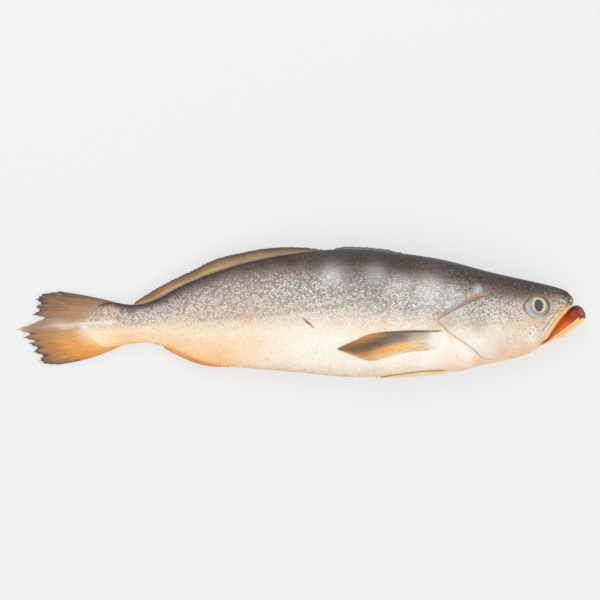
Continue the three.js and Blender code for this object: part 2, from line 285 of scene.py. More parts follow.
def relief(x, y):
    # how far the skin of the head and flank stands out or in, and how much painted shade darkens its hollows
    out = 0.35 * ripple(x, y, 55, 3) + 0.12 * ripple(x, y, 17, 4)
    # dark is painted shade: at the rim of the eye's socket, in the grooves by the mouth, in the nostrils and in
    # the gill slit
    dark = np.zeros(np.shape(x))
    r = eyeReach(x, y)
    out = out * smooth(-2, 6, r) + headRelief["brow"] * bell(r - 1.7, 1.2)
    out = out - headRelief["socketDepth"] * smooth(0.5, -1.0, r)
    dark = np.maximum(dark, 0.7 * bell(r - 0.1, 0.6))
    d, run = distanceTo(x, y, mouthEdge)
    inHead = smooth(176, 186, x)
    tucked = inHead * smooth(1.0, 0.8, run)
    for at, high, wide in headRelief["folds"]:
        out = out + tucked * high * bell(d - at, wide) * smooth(0.8, 3, r)
    grooved = smooth(0.04, 0.3, run) * smooth(0.99, 0.66, run)
    for at, deep, wide in headRelief["grooves"]:
        groove = inHead * deep * bell(d - at, wide) * smooth(0.6, 2.0, r) * grooved
        out = out - groove
        dark = np.maximum(dark, 0.95 * groove * smooth(4, 6, at))
    for nx, ny, size in headRelief["nostrils"]:
        pit = bell(np.hypot(x - nx, y - ny), size)
        out, dark = out - 0.9 * pit, np.maximum(dark, pit)
    d, _ = distanceTo(x, y, headRelief["cheekBone"])
    out = out + 0.4 * bell(d - 1.3, 1.5) - 0.35 * bell(d, 0.9)
    inCover = insideOf(x, y, coverRing)
    slit = smooth(-5.5, -0.6, inCover) * smooth(158, 146, x)
    out = out - headRelief["slitDepth"] * slit
    dark = np.maximum(dark, 0.3 * smooth(-1.8, -0.2, inCover) * smooth(156, 145, x))
    d, _ = distanceTo(x, y, shoulderEdge)
    out = out - 0.4 * bell(d, 1.1) + 0.4 * bell(d - 2.2, 1.8)
    return out, dark


cutEnds = [(3.4, -3.8), (7, -7.2), (11.8, -11)]
lateralLine = [(150, 15), (128, 14.5), (100, 13.5), (70, 11), (40, 7), (10, 2.5), (-14, -0.4), (-51, -3.6),
               (-85, -6.5), (-120, -9.3), (-146, -11), (-168, -10.6)]
skinSpots = {
    # x, y, size and strength of each soft spot
    "blush": [(159, -31, 5, 0.4), (176, -29, 6, 0.35), (168, -33, 5, 0.35), (140, -38, 5, 0.4),
              (122, -43, 9, 0.3), (118, -32, 8, 0.22), (106, -8, 6, 0.22), (183, -6.5, 4, 0.5),
              (190, -6, 3.5, 0.35), (-137, -21, 9, 0.25), (-100, -31, 8, 0.35), (-39, -5, 5, 0.35),
              (50, -12, 6, 0.2), (30, -7, 5, 0.2), (66, -10, 6, 0.25), (172, -6, 6, 0.2)],
    # fold spot: painted shade by the gill opening
    "fold": [(115, -6, 9, 0.28)],
    "stain": [(-1.3, 27, 3.2, 0.55), (138, -8, 8, 0.45), (200, 10, 4.5, 0.35)],
    "gilt": [(203, 6.5, 6.0, 0.8), (170, -10, 16, 0.4), (194, 13, 6, 0.3), (176, 8, 6, 0.3)],
    # pale spots: painted highlights (glints) on the flank, head and gill cover
    "pale": [(-160, -20, 5.5, 0.6), (26, 29, 9, 0.55), (102, 16, 12, 0.6), (120, 4, 9, 0.55),
             (130, -27.5, 4.5, 0.9), (117, 15, 7, 0.5), (139, 18, 3.4, 0.6), (132, 13.5, 3, 0.4),
             (155, -12.7, 2.6, 0.7), (182, -21, 3.2, 0.7), (92, -20, 6, 0.4), (78, 20, 9, 0.35),
             (60, 30, 8, 0.3)],
}
slitStreak = [(130, 10.2), (137, 13), (145, 15.4)]
tailStreak = [(-186, -12), (-166, -8.5), (-146, -7.4)]


def most(*shares):
    return functools.reduce(np.maximum, shares)


def marks(x, y):
    # where the skin is flushed orange, brown along folds and in painted shade, stained, cut, gilt, or pale with
    # painted highlights
    def spots(kind):
        return most(*[strength * np.exp(-(((x - cx) ** 2 + (y - cy) ** 2) / size**2))
                      for cx, cy, size, strength in skinSpots[kind]])

    rim = eyeReach(x, y)
    lip, run = distanceTo(x, y, mouthEdge)
    inCover = insideOf(x, y, coverRing)
    shoulder, _ = distanceTo(x, y, shoulderEdge)
    slit, _ = distanceTo(x, y, slitStreak)
    line, _ = distanceTo(x, y, lateralLine)
    streak, _ = distanceTo(x, y, tailStreak)
    cutLine, share = distanceTo(x, y, cutEnds)
    onLip = smooth(178, 190, x) * smooth(0.0, 0.25, run)
    lowEdge = smooth(2.4, 0.2, np.abs(inCover)) * smooth(-3, -8, y) * smooth(110, 116, x) * smooth(160, 146, x)
    topFold = smooth(-5.0, -2.0, inCover) * smooth(1.2, -0.2, inCover) * smooth(-9, -1, y)
    topFold = topFold * smooth(107, 114, x) * smooth(146, 136, x)
    broken = 0.6 + 0.5 * ripple(x, y, 16, 33)
    lipFlush = 0.2 * smooth(7.5, 3.0, lip) + 0.62 * bell(lip - 0.2, 0.8) + 0.5 * bell(lip - 3.2, 0.6)
    blush = most(onLip * lipFlush, 0.34 * onLip * bell(lip - 6.4, 0.7), 0.36 * lowEdge * broken,
                 0.42 * broken * bell(shoulder, 1.4), spots("blush"), 0.3 * smooth(2.3, 0.7, slit))
    # fold is brown along the lateral line, and painted shade in the slit above the gill cover, round the eye
    # and by the gill opening
    fold = most(0.5 * topFold, 0.28 * bell(line, 1.1) * smooth(-95, -50, x) * smooth(60, 10, x),
                0.4 * bell(rim - 1.6, 1.2), spots("fold"))
    return {"blush": blush, "fold": fold, "stain": spots("stain"),
            "cut": smooth(1.5, 0.5, cutLine + 0.9 * np.abs(share - 0.4)),
            "gilt": spots("gilt") * smooth(0.6, 2.5, rim),
            # pale: the white streak along the tail stalk, and the painted highlights
            "pale": most(0.75 * bell(streak, 1.5), spots("pale"))}


def meshFrom(name, points, faces, attributes=None, uv=None, edges=()):
    # a piece from points in mm, with a value or vector per point for each attribute
    mesh = bpy.data.meshes.new(name)
    mesh.from_pydata((np.asarray(points) * mm).tolist(), edges, faces)
    mesh.update()
    for key, values in (attributes or {}).items():
        values = np.asarray(values, np.float32)
        kind = "FLOAT" if values.ndim == 1 else "FLOAT_VECTOR"
        layer = mesh.attributes.new(key, kind, "POINT")
        layer.data.foreach_set("value" if values.ndim == 1 else "vector", values.ravel())
    if uv is not None:
        layer = mesh.uv_layers.new(name="OFBake")
        layer.data.foreach_set("uv", np.asarray(uv, np.float32).ravel())
    mesh.polygons.foreach_set("use_smooth", [True] * len(mesh.polygons))
    piece = bpy.data.objects.new(name, mesh)
    scene.collection.objects.link(piece)
    return piece


def gridFaces(rows, columns, start=0, closed=False, turned=False):
    faces = []
    wrap = columns if closed else columns - 1
    for i in range(rows - 1):
        for j in range(wrap):
            k = (j + 1) % columns
            a, b = start + i * columns + j, start + i * columns + k
            c, d = a + columns, b + columns
            faces.append((a, c, d, b) if turned else (a, b, d, c))
    return faces


def closedFaces(rows, count):
    # a tube's faces, with a fan to one more point at each end
    top, first = (rows - 1) * count, rows * count
    faces = gridFaces(rows, count, closed=True)
    faces += [(first, (j + 1) % count, j) for j in range(count)]
    return faces + [(first + 1, top + j, top + (j + 1) % count) for j in range(count)]


def sheet(name, centre, normal, thickness, attributes):
    # a thin closed sheet over a grid of centre points
    rows, columns = centre.shape[:2]
    offset = normal * thickness[..., None] / 2
    points = np.concatenate([(centre + offset).reshape(-1, 3), (centre - offset).reshape(-1, 3)])
    count = rows * columns
    faces = gridFaces(rows, columns) + gridFaces(rows, columns, count, turned=True)
    rim = list(range(columns)) + [i * columns + columns - 1 for i in range(1, rows)]
    rim += [(rows - 1) * columns + j for j in range(columns - 2, -1, -1)]
    rim += [i * columns for i in range(rows - 2, 0, -1)]
    faces += [(b, a, a + count, b + count) for a, b in zip(rim, rim[1:] + rim[:1])]
    doubled = {k: np.concatenate([v.ravel(), v.ravel()]) for k, v in attributes.items()}
    piece = meshFrom(name, points, faces, doubled)
    outward(piece)
    return piece


def outward(piece):
    # turns every face out, and merges points that lie on each other
    bm = bmesh.new()
    bm.from_mesh(piece.data)
    bmesh.ops.remove_doubles(bm, verts=bm.verts, dist=1e-6)
    bmesh.ops.recalc_face_normals(bm, faces=bm.faces)
    bm.to_mesh(piece.data)
    bm.free()


def joined(name, pieces):
    with bpy.context.temp_override(active_object=pieces[0], selected_editable_objects=pieces):
        bpy.ops.object.join()
    pieces[0].name = name
    pieces[0].data.name = name
    return pieces[0]


def onFloor(piece):
    # lifts whatever is under the floor up to it
    co = np.zeros(len(piece.data.vertices) * 3, np.float32)
    piece.data.vertices.foreach_get("co", co)
    co = co.reshape(-1, 3)
    co[:, 2] = np.maximum(co[:, 2], 0)
    piece.data.vertices.foreach_set("co", co.ravel())
    piece.data.update()


class Value:
    # a socket that takes part in sums
    def __init__(self, tree, socket):
        self.tree, self.socket = tree, socket

    def math(self, operation, a, b):
        return self.tree.add("ShaderNodeMath", {"operation": operation}, {0: a, 1: b})

    def __add__(self, other):
        return self.math("ADD", self, other)

    def __radd__(self, other):
        return self.math("ADD", other, self)

    def __sub__(self, other):
        return self.math("SUBTRACT", self, other)

    def __rsub__(self, other):
        return self.math("SUBTRACT", other, self)

    def __mul__(self, other):
        return self.math("MULTIPLY", self, other)

    def __rmul__(self, other):
        return self.math("MULTIPLY", other, self)

    def __truediv__(self, other):
        return self.math("DIVIDE", self, other)

    def between(self, low, high):
        # 0 at low and 1 at high, eased
        return self.tree.add("ShaderNodeMapRange", {"interpolation_type": "SMOOTHSTEP"},
                             {"Value": self, "From Min": low, "From Max": high})


class Tree:
    def __init__(self, tree):
        self.tree = tree
        tree.nodes.clear()

    def add(self, kind, settings=None, inputs=None, output=0):
        node = self.tree.nodes.new(kind)
        for key, value in (settings or {}).items():
            if key == "stops":
                while len(node.color_ramp.elements) < len(value):
                    node.color_ramp.elements.new(0.5)
                for element, (at, colour) in zip(node.color_ramp.elements, value):
                    element.position, element.color = at, colour
            else:
                setattr(node, key, value)
        for key, value in (inputs or {}).items():
            socket = node.inputs[key]
            if isinstance(value, Value):
                self.tree.links.new(value.socket, socket)
            else:
                socket.default_value = value
        return None if output is None else Value(self, node.outputs[output])

    def attribute(self, name):
        return self.add("ShaderNodeAttribute", {"attribute_name": name}, output="Fac")

    def objectAt(self):
        return self.add("ShaderNodeTexCoord", output="Object")

    def axis(self, vector, name):
        return self.add("ShaderNodeSeparateXYZ", inputs={0: vector}, output=name)

    def vector(self, x, y, z=0.0):
        return self.add("ShaderNodeCombineXYZ", inputs={0: x, 1: y, 2: z})

    def noise(self, at, scale, detail=3.0, rough=0.55):
        return self.add("ShaderNodeTexNoise", {},
                        {"Vector": at, "Scale": scale, "Detail": detail, "Roughness": rough}, "Fac")

    def ramp(self, value, stops):
        return self.add("ShaderNodeValToRGB", {"stops": [(at, rgb(*c)) for at, c in stops]}, {"Fac": value},
                        "Color")

    def mix(self, share, a, b):
        a, b = [rgb(*c) if isinstance(c, tuple) else c for c in (a, b)]
        return self.add("ShaderNodeMix", {"data_type": "RGBA"}, {0: share, 6: a, 7: b}, 2)

    def bump(self, height, strength, distance):
        return self.add("ShaderNodeBump", {}, {"Height": height, "Strength": strength, "Distance": distance},
                        "Normal")

    def finish(self, inputs):
        shader = self.add("ShaderNodeBsdfPrincipled", {}, inputs, "BSDF")
        self.add("ShaderNodeOutputMaterial", {}, {"Surface": shader}, None)


def rgb(r, g, b):
    # an everyday 0 to 255 colour as the linear one that shaders use
    def line(v):
        v = v / 255
        return v / 12.92 if v <= 0.04045 else ((v + 0.055) / 1.055) ** 2.4

    return (line(r), line(g), line(b), 1)


def material(name):
    # a new material and the tree to build it in
    made = bpy.data.materials.new(name)
    made.use_nodes = True
    return made, Tree(made.node_tree)


skinLook = {
    # the skin's colours from belly (0) to back (1), at six places along the fish
    "tailStalk": [(0, (252, 206, 150)), (0.1, (255, 220, 168)), (0.25, (255, 224, 176)), (0.4, (250, 226, 190)),
                  (0.5, (238, 208, 172)), (0.62, (216, 192, 166)), (0.76, (208, 182, 158)),
                  (0.88, (190, 164, 144)), (0.95, (112, 92, 78)), (1, (52, 42, 38))],
    "stalk": [(0, (255, 206, 146)), (0.08, (255, 218, 166)), (0.2, (252, 219, 178)), (0.32, (248, 226, 190)),
              (0.43, (246, 226, 194)), (0.52, (224, 204, 178)), (0.64, (196, 181, 166)),
              (0.74, (172, 157, 147)), (0.82, (140, 123, 113)), (0.89, (106, 88, 78)), (0.95, (70, 57, 50)),
              (1, (46, 38, 36))],
    "rear": [(0, (248, 192, 130)), (0.08, (253, 206, 148)), (0.2, (251, 215, 170)), (0.32, (250, 228, 194)),
             (0.43, (246, 228, 202)), (0.52, (222, 204, 184)), (0.64, (200, 185, 171)), (0.74, (194, 179, 168)),
             (0.82, (172, 157, 149)), (0.89, (134, 117, 108)), (0.95, (84, 70, 64)), (1, (46, 38, 36))],
    "trunk": [(0, (230, 200, 164)), (0.05, (244, 228, 204)), (0.12, (254, 245, 230)), (0.25, (255, 251, 240)),
              (0.38, (254, 243, 225)), (0.47, (240, 229, 214)), (0.57, (194, 184, 174)), (0.7, (166, 160, 156)),
              (0.79, (132, 122, 116)), (0.87, (72, 58, 52)), (1, (26, 21, 20))],
    "head": [(0, (240, 208, 172)), (0.1, (238, 216, 192)), (0.3, (242, 230, 212)), (0.5, (242, 228, 208)),
             (0.6, (214, 200, 184)), (0.69, (172, 157, 144)), (0.77, (116, 99, 89)), (0.87, (72, 58, 51)),
             (0.95, (44, 35, 31)), (1, (26, 22, 21))],
    "snout": [(0, (246, 184, 112)), (0.14, (236, 190, 134)), (0.26, (176, 144, 104)), (0.38, (98, 76, 58)),
              (0.5, (54, 42, 36)), (1, (26, 21, 20))],
    "blush": (246, 158, 72), "fold": (150, 112, 84), "stain": (140, 124, 84), "cut": (160, 96, 56),
    # colours for painted shade in hollows, and for silver painted as glints on the skin and scales
    "hollow": (120, 88, 64), "silverGlint": (247, 246, 244), "shade": (98, 82, 74), "gold": (244, 218, 152),
    "soot": (52, 42, 34),
}


def flankColour(tree, look, at, up, patchy=0.05):
    # the colour of the flank at a height share, mixed along the fish
    x = tree.axis(at, "X")
    drift = tree.noise(at, 38.0, 4.0) - 0.5
    fine = tree.noise(at, 160.0, 3.0) - 0.5
    height = up + drift * (patchy * 2.2) + fine * patchy
    along = x + drift * 0.03
    colour = tree.mix(along.between(-0.152, -0.136), tree.ramp(height, look["tailStalk"]),
                      tree.ramp(height, look["stalk"]))
    colour = tree.mix(along.between(-0.1, -0.06), colour, tree.ramp(height, look["rear"]))
    colour = tree.mix((along + 0.03 - 0.04 * up).between(-0.045, 0.03), colour,
                      tree.ramp(height, look["trunk"]))
    colour = tree.mix(along.between(0.125, 0.16), colour, tree.ramp(height, look["head"]))
    return tree.mix(along.between(0.192, 0.208), colour, tree.ramp(height, look["snout"]))


def marked(tree, look, colour, at):
    # the flushes, folds, stains and flecks that the skin and the scales share, with painted highlights and
    # painted shade
    speck = tree.noise(at, 620.0, 2.0, 0.6)
    fleck = tree.noise(at, 580.0, 3.0, 0.55)
    gilt = tree.attribute("gilt")
    # pale: the tail stalk's own white streak, and painted highlights (glints)
    colour = tree.mix(tree.attribute("pale") * (0.55 + 0.8 * (speck - 0.3)), colour, (252, 250, 246))
    colour = tree.mix(gilt * fleck.between(0.5, 0.62), colour, look["gold"])
    colour = tree.mix(gilt * (1 - fleck.between(0.34, 0.44)), colour, look["soot"])
    colour = tree.mix(tree.attribute("blush") * (0.5 + 0.8 * tree.noise(at, 210.0)), colour, look["blush"])
    # fold: brown along the lateral line, and painted shade in the slit, round the eye and by the gill opening
    colour = tree.mix(tree.attribute("fold") * 0.9, colour, look["fold"])
    colour = tree.mix(tree.attribute("stain") * speck.between(0.2, 0.6), colour, look["stain"])
    # painted shade in the head's hollows and along the gill cover's very edge
    colour = tree.mix(tree.attribute("hollow") * 0.8, colour, look["hollow"])
    return tree.mix(tree.attribute("cut"), colour, look["cut"])


def makeSkin():
    look = skinLook
    made, tree = material("wetSkin")
    at = tree.objectAt()
    up = tree.attribute("up")
    colour = flankColour(tree, look, at, up)
    speck = tree.noise(at, 700.0, 2.0, 0.6)
    front = tree.axis(at, "X").between(0.13, 0.165)
    mottle = up.between(0.3, 0.6) * (1 - front) + up.between(0.05, 0.34) * front * 0.75
    calm = 1 - (up + 0.1 * front - 0.04).between(0.68, 0.88)
    strong = mottle * (0.42 + 0.26 * front)
    # pale silver specks: painted glints, partly the skin's own silver
    colour = tree.mix(speck.between(0.52, 0.64) * (0.1 + strong) * calm, colour, look["silverGlint"])
    colour = tree.mix((1 - speck.between(0.36, 0.48)) * (0.04 + strong) * calm, colour, look["shade"])
    warm = tree.noise(at, 480.0, 3.0, 0.6)
    cheek = front * up.between(0.1, 0.3) * (1 - up.between(0.6, 0.78))
    colour = tree.mix(warm.between(0.54, 0.64) * cheek * 0.55, colour, (255, 244, 212))
    colour = tree.mix((1 - warm.between(0.36, 0.45)) * cheek * 0.45, colour, (150, 126, 94))
    brown = tree.noise(at, 560.0, 3.0, 0.6)
    nape = up.between(0.62, 0.76) * (1 - up.between(0.9, 1.0))
    colour = tree.mix(brown.between(0.5, 0.64) * nape * 0.5, colour, (138, 118, 106))
    colour = tree.mix((1 - brown.between(0.36, 0.48)) * nape * 0.4, colour, (40, 32, 29))
    colour = marked(tree, look, colour, at)
    wet = tree.mix(tree.noise(at, 260.0), (226, 104, 36), (190, 66, 20))
    colour = tree.mix(tree.attribute("inner"), colour, wet)
    wrinkle = tree.noise(at, 900.0, 3.0) * 0.6 + tree.noise(at, 2600.0, 2.0) * 0.4
    tree.finish({"Base Color": colour, "Roughness": 0.3 + 0.26 * tree.noise(at, 70.0),
                 "Specular IOR Level": 0.3, "Coat Weight": 0.12, "Coat Roughness": 0.15,
                 "Normal": tree.bump(wrinkle, 0.35, 0.0006)})
    return made


bodyGrid = {
    "round": 236, "headStep": 0.75, "trunkStep": 1.75, "headFrom": 100, "tailCap": 3, "tailSteps": 7,
    "snoutCap": 4, "snoutSteps": 14, "snoutGap": 0.004, "bedDepth": 1.6,
}


def bodyStations():
    # where the cross sections stand, closer at the head and at both ends
    form = bodyGrid
    trunk = np.arange(tailEnd + form["tailCap"], form["headFrom"], form["trunkStep"])
    head = np.arange(form["headFrom"], snoutEnd - form["snoutCap"], form["headStep"])
    tail = tailEnd + form["tailCap"] * (1 - np.cos(np.linspace(0.05, math.pi / 2, form["tailSteps"])))[:-1]
    tip = snoutEnd - form["snoutCap"] * (1 - np.sin(np.linspace(0, math.pi / 2, form["snoutSteps"])))[:-1]
    return np.concatenate([tail, trunk, head, tip, [snoutEnd - form["snoutGap"]]])


def makeBody():
    x = bodyStations()[:, None]
    count = bodyGrid["round"]
    turn = (np.arange(count) / count * 2 * math.pi - math.pi)[None, :]
    points = skin(x, turn)
    away = normalAt(x, turn)
    flankX, flankY = points[..., 0], points[..., 1]
    _, inward, jawed = lipShare(x, turn)
    inner = np.where(np.abs(turn) > math.pi / 2, jawed * smooth(0.02, 0.25, inward), 0)
    out, dark = relief(flankX, flankY)
    calm = endShare(flankX) * (1 - inner) * smooth(0.02, 0.3, np.abs(np.sin(turn)))
    out, dark = out * calm, dark * calm
    points = points + away * out[..., None]
    # the underside is pressed flat, with a bed for the fin that lies under it
    bed = bodyGrid["bedDepth"] * smooth(-3, 1, insideOf(flankX, flankY, pectoralRing)) * (turn < 0)
    points[..., 2] = np.maximum(points[..., 2], bed)
    rows = len(x)
    ends = [points[0].mean(0), points[-1].mean(0)]
    found = marks(flankX, flankY)
    found = {k: v * (1 - inner) for k, v in found.items()}
    found["up"] = upShare(flankX, flankY)
    found["hollow"], found["inner"] = dark, inner
    attributes = {k: np.concatenate([v.ravel(), [v[0, 0], v[-1, 0]]]) for k, v in found.items()}
    u, v = np.meshgrid(np.linspace(0.01, 0.99, rows), np.linspace(0.01, 0.99, count + 1), indexing="ij")
    corners = ((0, 0), (0, 1), (1, 1), (1, 0))
    uv = [(u[i + a, j], v[i + a, j + b]) for i in range(rows - 1) for j in range(count) for a, b in corners]
    for row, edge, order in ((0, 0.002, (1, 0)), (rows - 1, 0.998, (0, 1))):
        for j in range(count):
            uv += [(edge, v[row, j])] + [(u[row, j], v[row, j + k]) for k in order]
    points = np.concatenate([points.reshape(-1, 3), ends])
    return meshFrom("fishBody", points, closedFaces(rows, count), attributes, uv)


wetSkin = makeSkin()
fishBody = makeBody()
fishBody.data.materials.append(wetSkin)
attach(fishBody, "root")
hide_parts("body")
print("body", len(fishBody.data.polygons))


def onFlank(x, y, side, lift):
    # the place that lies lift above the skin, and the way out of the skin there
    turn = turnAt(x, y, side)
    away = normalAt(x, turn)
    return skin(x, turn) + away * np.asarray(lift)[..., None], away


def makeCover(name, side):
    form = coverForm
    u = np.linspace(0, 1, form["columns"])[:, None]
    v = np.linspace(0, 1, form["rows"])[None, :]
    (ux, uy), (lx, ly) = coverPath[0](u), coverPath[1](u)
    x, y = lx + (ux - lx) * v, ly + (uy - ly) * v
    edge = np.minimum(v, 1 - v) * np.hypot(ux - lx, uy - ly)
    edge = np.minimum(edge, (1 - u) * form["length"])
    thick = form["thick"] * np.sqrt(np.clip(edge / 2.2, 0.03, 1))
    # it rises towards its free rear edge, which is a little wavy
    lift = -0.5 + form["rise"] * smooth(164, 141, x)
    lift = lift + 0.35 * ripple(x, y, 55, 3) + 0.1 * ripple(x, y, 14, 8)
    lift = lift + form["edgeWave"] * np.sin(u * form["waves"]) * smooth(5, 0, edge) * smooth(0.35, 0.6, u)
    lift = lift + 0.45 * bell(edge - 7, 3.5) - 0.25 * smooth(2.5, 0, edge)
    lift = lift + 0.35 * smooth(-1.2, 1.2, insideOf(x, y, form["plate"]))
    centre, away = onFlank(x, y, side, lift)
    found = marks(x, y)
    found["up"] = upShare(x, y)
    lowRim = 0.3 * smooth(1.6, 0.2, edge) * smooth(0.25, 0.5, u) * smooth(0.6, 0.4, v)
    highRim = 0.35 * smooth(1.2, 0, edge) * smooth(0.2, 0.5, u) * smooth(0.4, 0.6, v)
    found["blush"], found["fold"] = most(found["blush"], lowRim), most(found["fold"], highRim)
    # painted shade along the cover's very edge
    found["hollow"] = 0.3 * smooth(0.4, 0, edge)
    piece = sheet(name, centre, away, thick, found)
    onFloor(piece)
    return piece


for side, name, node in ((1, "rightGillCover", "right_gill_cover"), (-1, "leftGillCover", "left_gill_cover")):
    cover = makeCover(name, side)
    cover.data.materials.append(wetSkin)
    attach(cover, "root")
    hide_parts(node)
print("gill covers")

scaleForm = {
    "trunk": (2.15, 1.42), "head": (1.55, 1.12),  # how far apart they are, along and across
    "length": 1.5, "width": 1.12, "crown": 0.2, "lift": 0.12, "tilt": 0.11,
    "headSize": 0.78, "sides": 8, "shift": 0.3, "turnShift": 0.011, "sunk": 0.03, "seed": 12,
}


def flankRows(start, stop, pitch, row, side):
    # staggered rows that follow the flank, as x and the turn round the body
    turns = np.linspace(0.02, math.pi - 0.02, 260)
    found = []
    for k, x in enumerate(np.arange(start, stop, pitch / 2)):
        line = skin(np.full(turns.shape, x), side * turns)
        arc = np.concatenate([[0], np.cumsum(np.linalg.norm(np.diff(line, axis=0), axis=1))])
        arc -= np.interp(math.pi / 2, turns, arc)
        first = math.ceil((arc[0] / row - k % 2) / 2)
        last = math.floor((arc[-1] / row - k % 2) / 2)
        at = (np.arange(first, last + 1) * 2 + k % 2) * row
        found.append(np.stack([np.full(at.shape, x), np.interp(at, arc, turns)], -1))
    return np.concatenate(found)


def shapeOf(pieces):
    # the outer surface of some pieces, to lay other pieces on
    points, faces = [], []
    for piece in pieces:
        start = len(points)
        points += [v.co.copy() for v in piece.data.vertices]
        faces += [[start + k for k in p.vertices] for p in piece.data.polygons]
    tree = BVHTree.FromPolygons(points, faces)

    def landing(places, away, gap=12.0):
        # where each place comes down, and the way out there, going in from outside
        found, ways = places.copy(), away.copy()
        for k, (p, n) in enumerate(zip(places, away)):
            hit, normal, _, _ = tree.ray_cast(Vector((p + n * gap) * mm), Vector(-n), gap * 2 * mm)
            if hit is not None:
                found[k] = np.array(hit) / mm
                ways[k] = n + 0.7 * np.array(normal) * (1 if np.dot(normal, n) > 0 else -1)
        return found, ways / np.linalg.norm(ways, axis=-1, keepdims=True)

    return landing


def scaleBed(name, side):
    form = scaleForm
    rng = np.random.default_rng(form["seed"] + side)
    trunk = flankRows(tailEnd + 3, 124, *form["trunk"], side)
    head = flankRows(112, 186, *form["head"], side)
    x, turn = np.concatenate([trunk, head]).T
    onHead = np.arange(len(x)) >= len(trunk)
    x = x + rng.uniform(-form["shift"], form["shift"], x.shape)
    turn = side * (turn + rng.uniform(-form["turnShift"], form["turnShift"], x.shape))
    y = skin(x, turn)[:, 1]
    up = upShare(x, y)
    inCover = insideOf(x, y, coverRing)
    lip, _ = distanceTo(x, y, mouthEdge)
    cutLine, _ = distanceTo(x, y, cutEnds)
    # small scales on the head and its covers, large ones up to the shoulder
    headPart = (inCover > 1.6) | ((x > 134) & (inCover < -0.5) & (y > -20)) | (x > 160)
    trunkPart = (x < 124.75 - 0.25 * y) & (inCover < -2.6)
    keep = np.where(onHead, headPart, trunkPart)
    # none on the eye's rim, the lips, the cut, the fin's bed, the throat or the nape
    keep &= (eyeReach(x, y) > 3.4) & ~((lip < 15.5) & (x > 168)) & (cutLine > 1.5)
    keep &= insideOf(x, y, pectoralRing) < 0.6
    keep &= ~((x > 96) & (x < 150) & (y < -14) & (inCover < 1.2)) & ~((x > 146) & (up < 0.16))
    nape = 0.9985 - 0.0985 * smooth(58, 104, x) - 0.003 * np.maximum(x - 100, 0)
    keep &= up < nape + 0.02 * smooth(50, 90, x) * ripple(x, y, 8, 17)
    x, turn, y, up, onHead, inCover = [a[keep] for a in (x, turn, y, up, onHead, inCover)]
    place, away = bodySurface(skin(x, turn), normalAt(x, turn))
    step = skin(x - 0.5, turn) - skin(x + 0.5, turn)
    trail = step - away * np.sum(step * away, -1, keepdims=True)
    trail /= np.linalg.norm(trail, axis=-1, keepdims=True)
    place = place - away * form["sunk"]
    size = np.where(onHead, form["headSize"], 1.0) * smooth(-195, -120,
                                                            x) ** 0.3 * rng.uniform(0.92, 1.1, x.shape)
    size = size * (1 - 0.22 * smooth(0.35, 0.1, up))
    found = marks(x, y)
    found["up"] = up
    # the same painted shade in the head's hollows as on the skin
    found["hollow"] = relief(x, y)[1] * (inCover < 0)
    found["tone"] = rng.normal(0, 1, x.shape).clip(-2, 2)
    found["size"] = size * mm
    found["away"], found["trail"] = away, trail
    cells = math.ceil(math.sqrt(len(x)))
    number = np.arange(len(x))
    # each scale has its own cell of the UV map
    found["cell"] = np.stack([(number % cells + 0.5) / cells, (number // cells + 0.5) / cells,
                              np.full(x.shape, 0.46 / cells)], -1)
    return meshFrom(name, place, [], found)


def growTree(name, **inputs):
    # a geometry tree with named inputs, and a way to read them
    group = bpy.data.node_groups.new(name, "GeometryNodeTree")
    tree = Tree(group)
    for key, kind in {"Geometry": "Geometry", **inputs}.items():
        group.interface.new_socket(key, in_out="INPUT", socket_type="NodeSocket" + kind)
    group.interface.new_socket("Geometry", in_out="OUTPUT", socket_type="NodeSocketGeometry")
    return group, tree, lambda key: tree.add("NodeGroupInput", output=key)


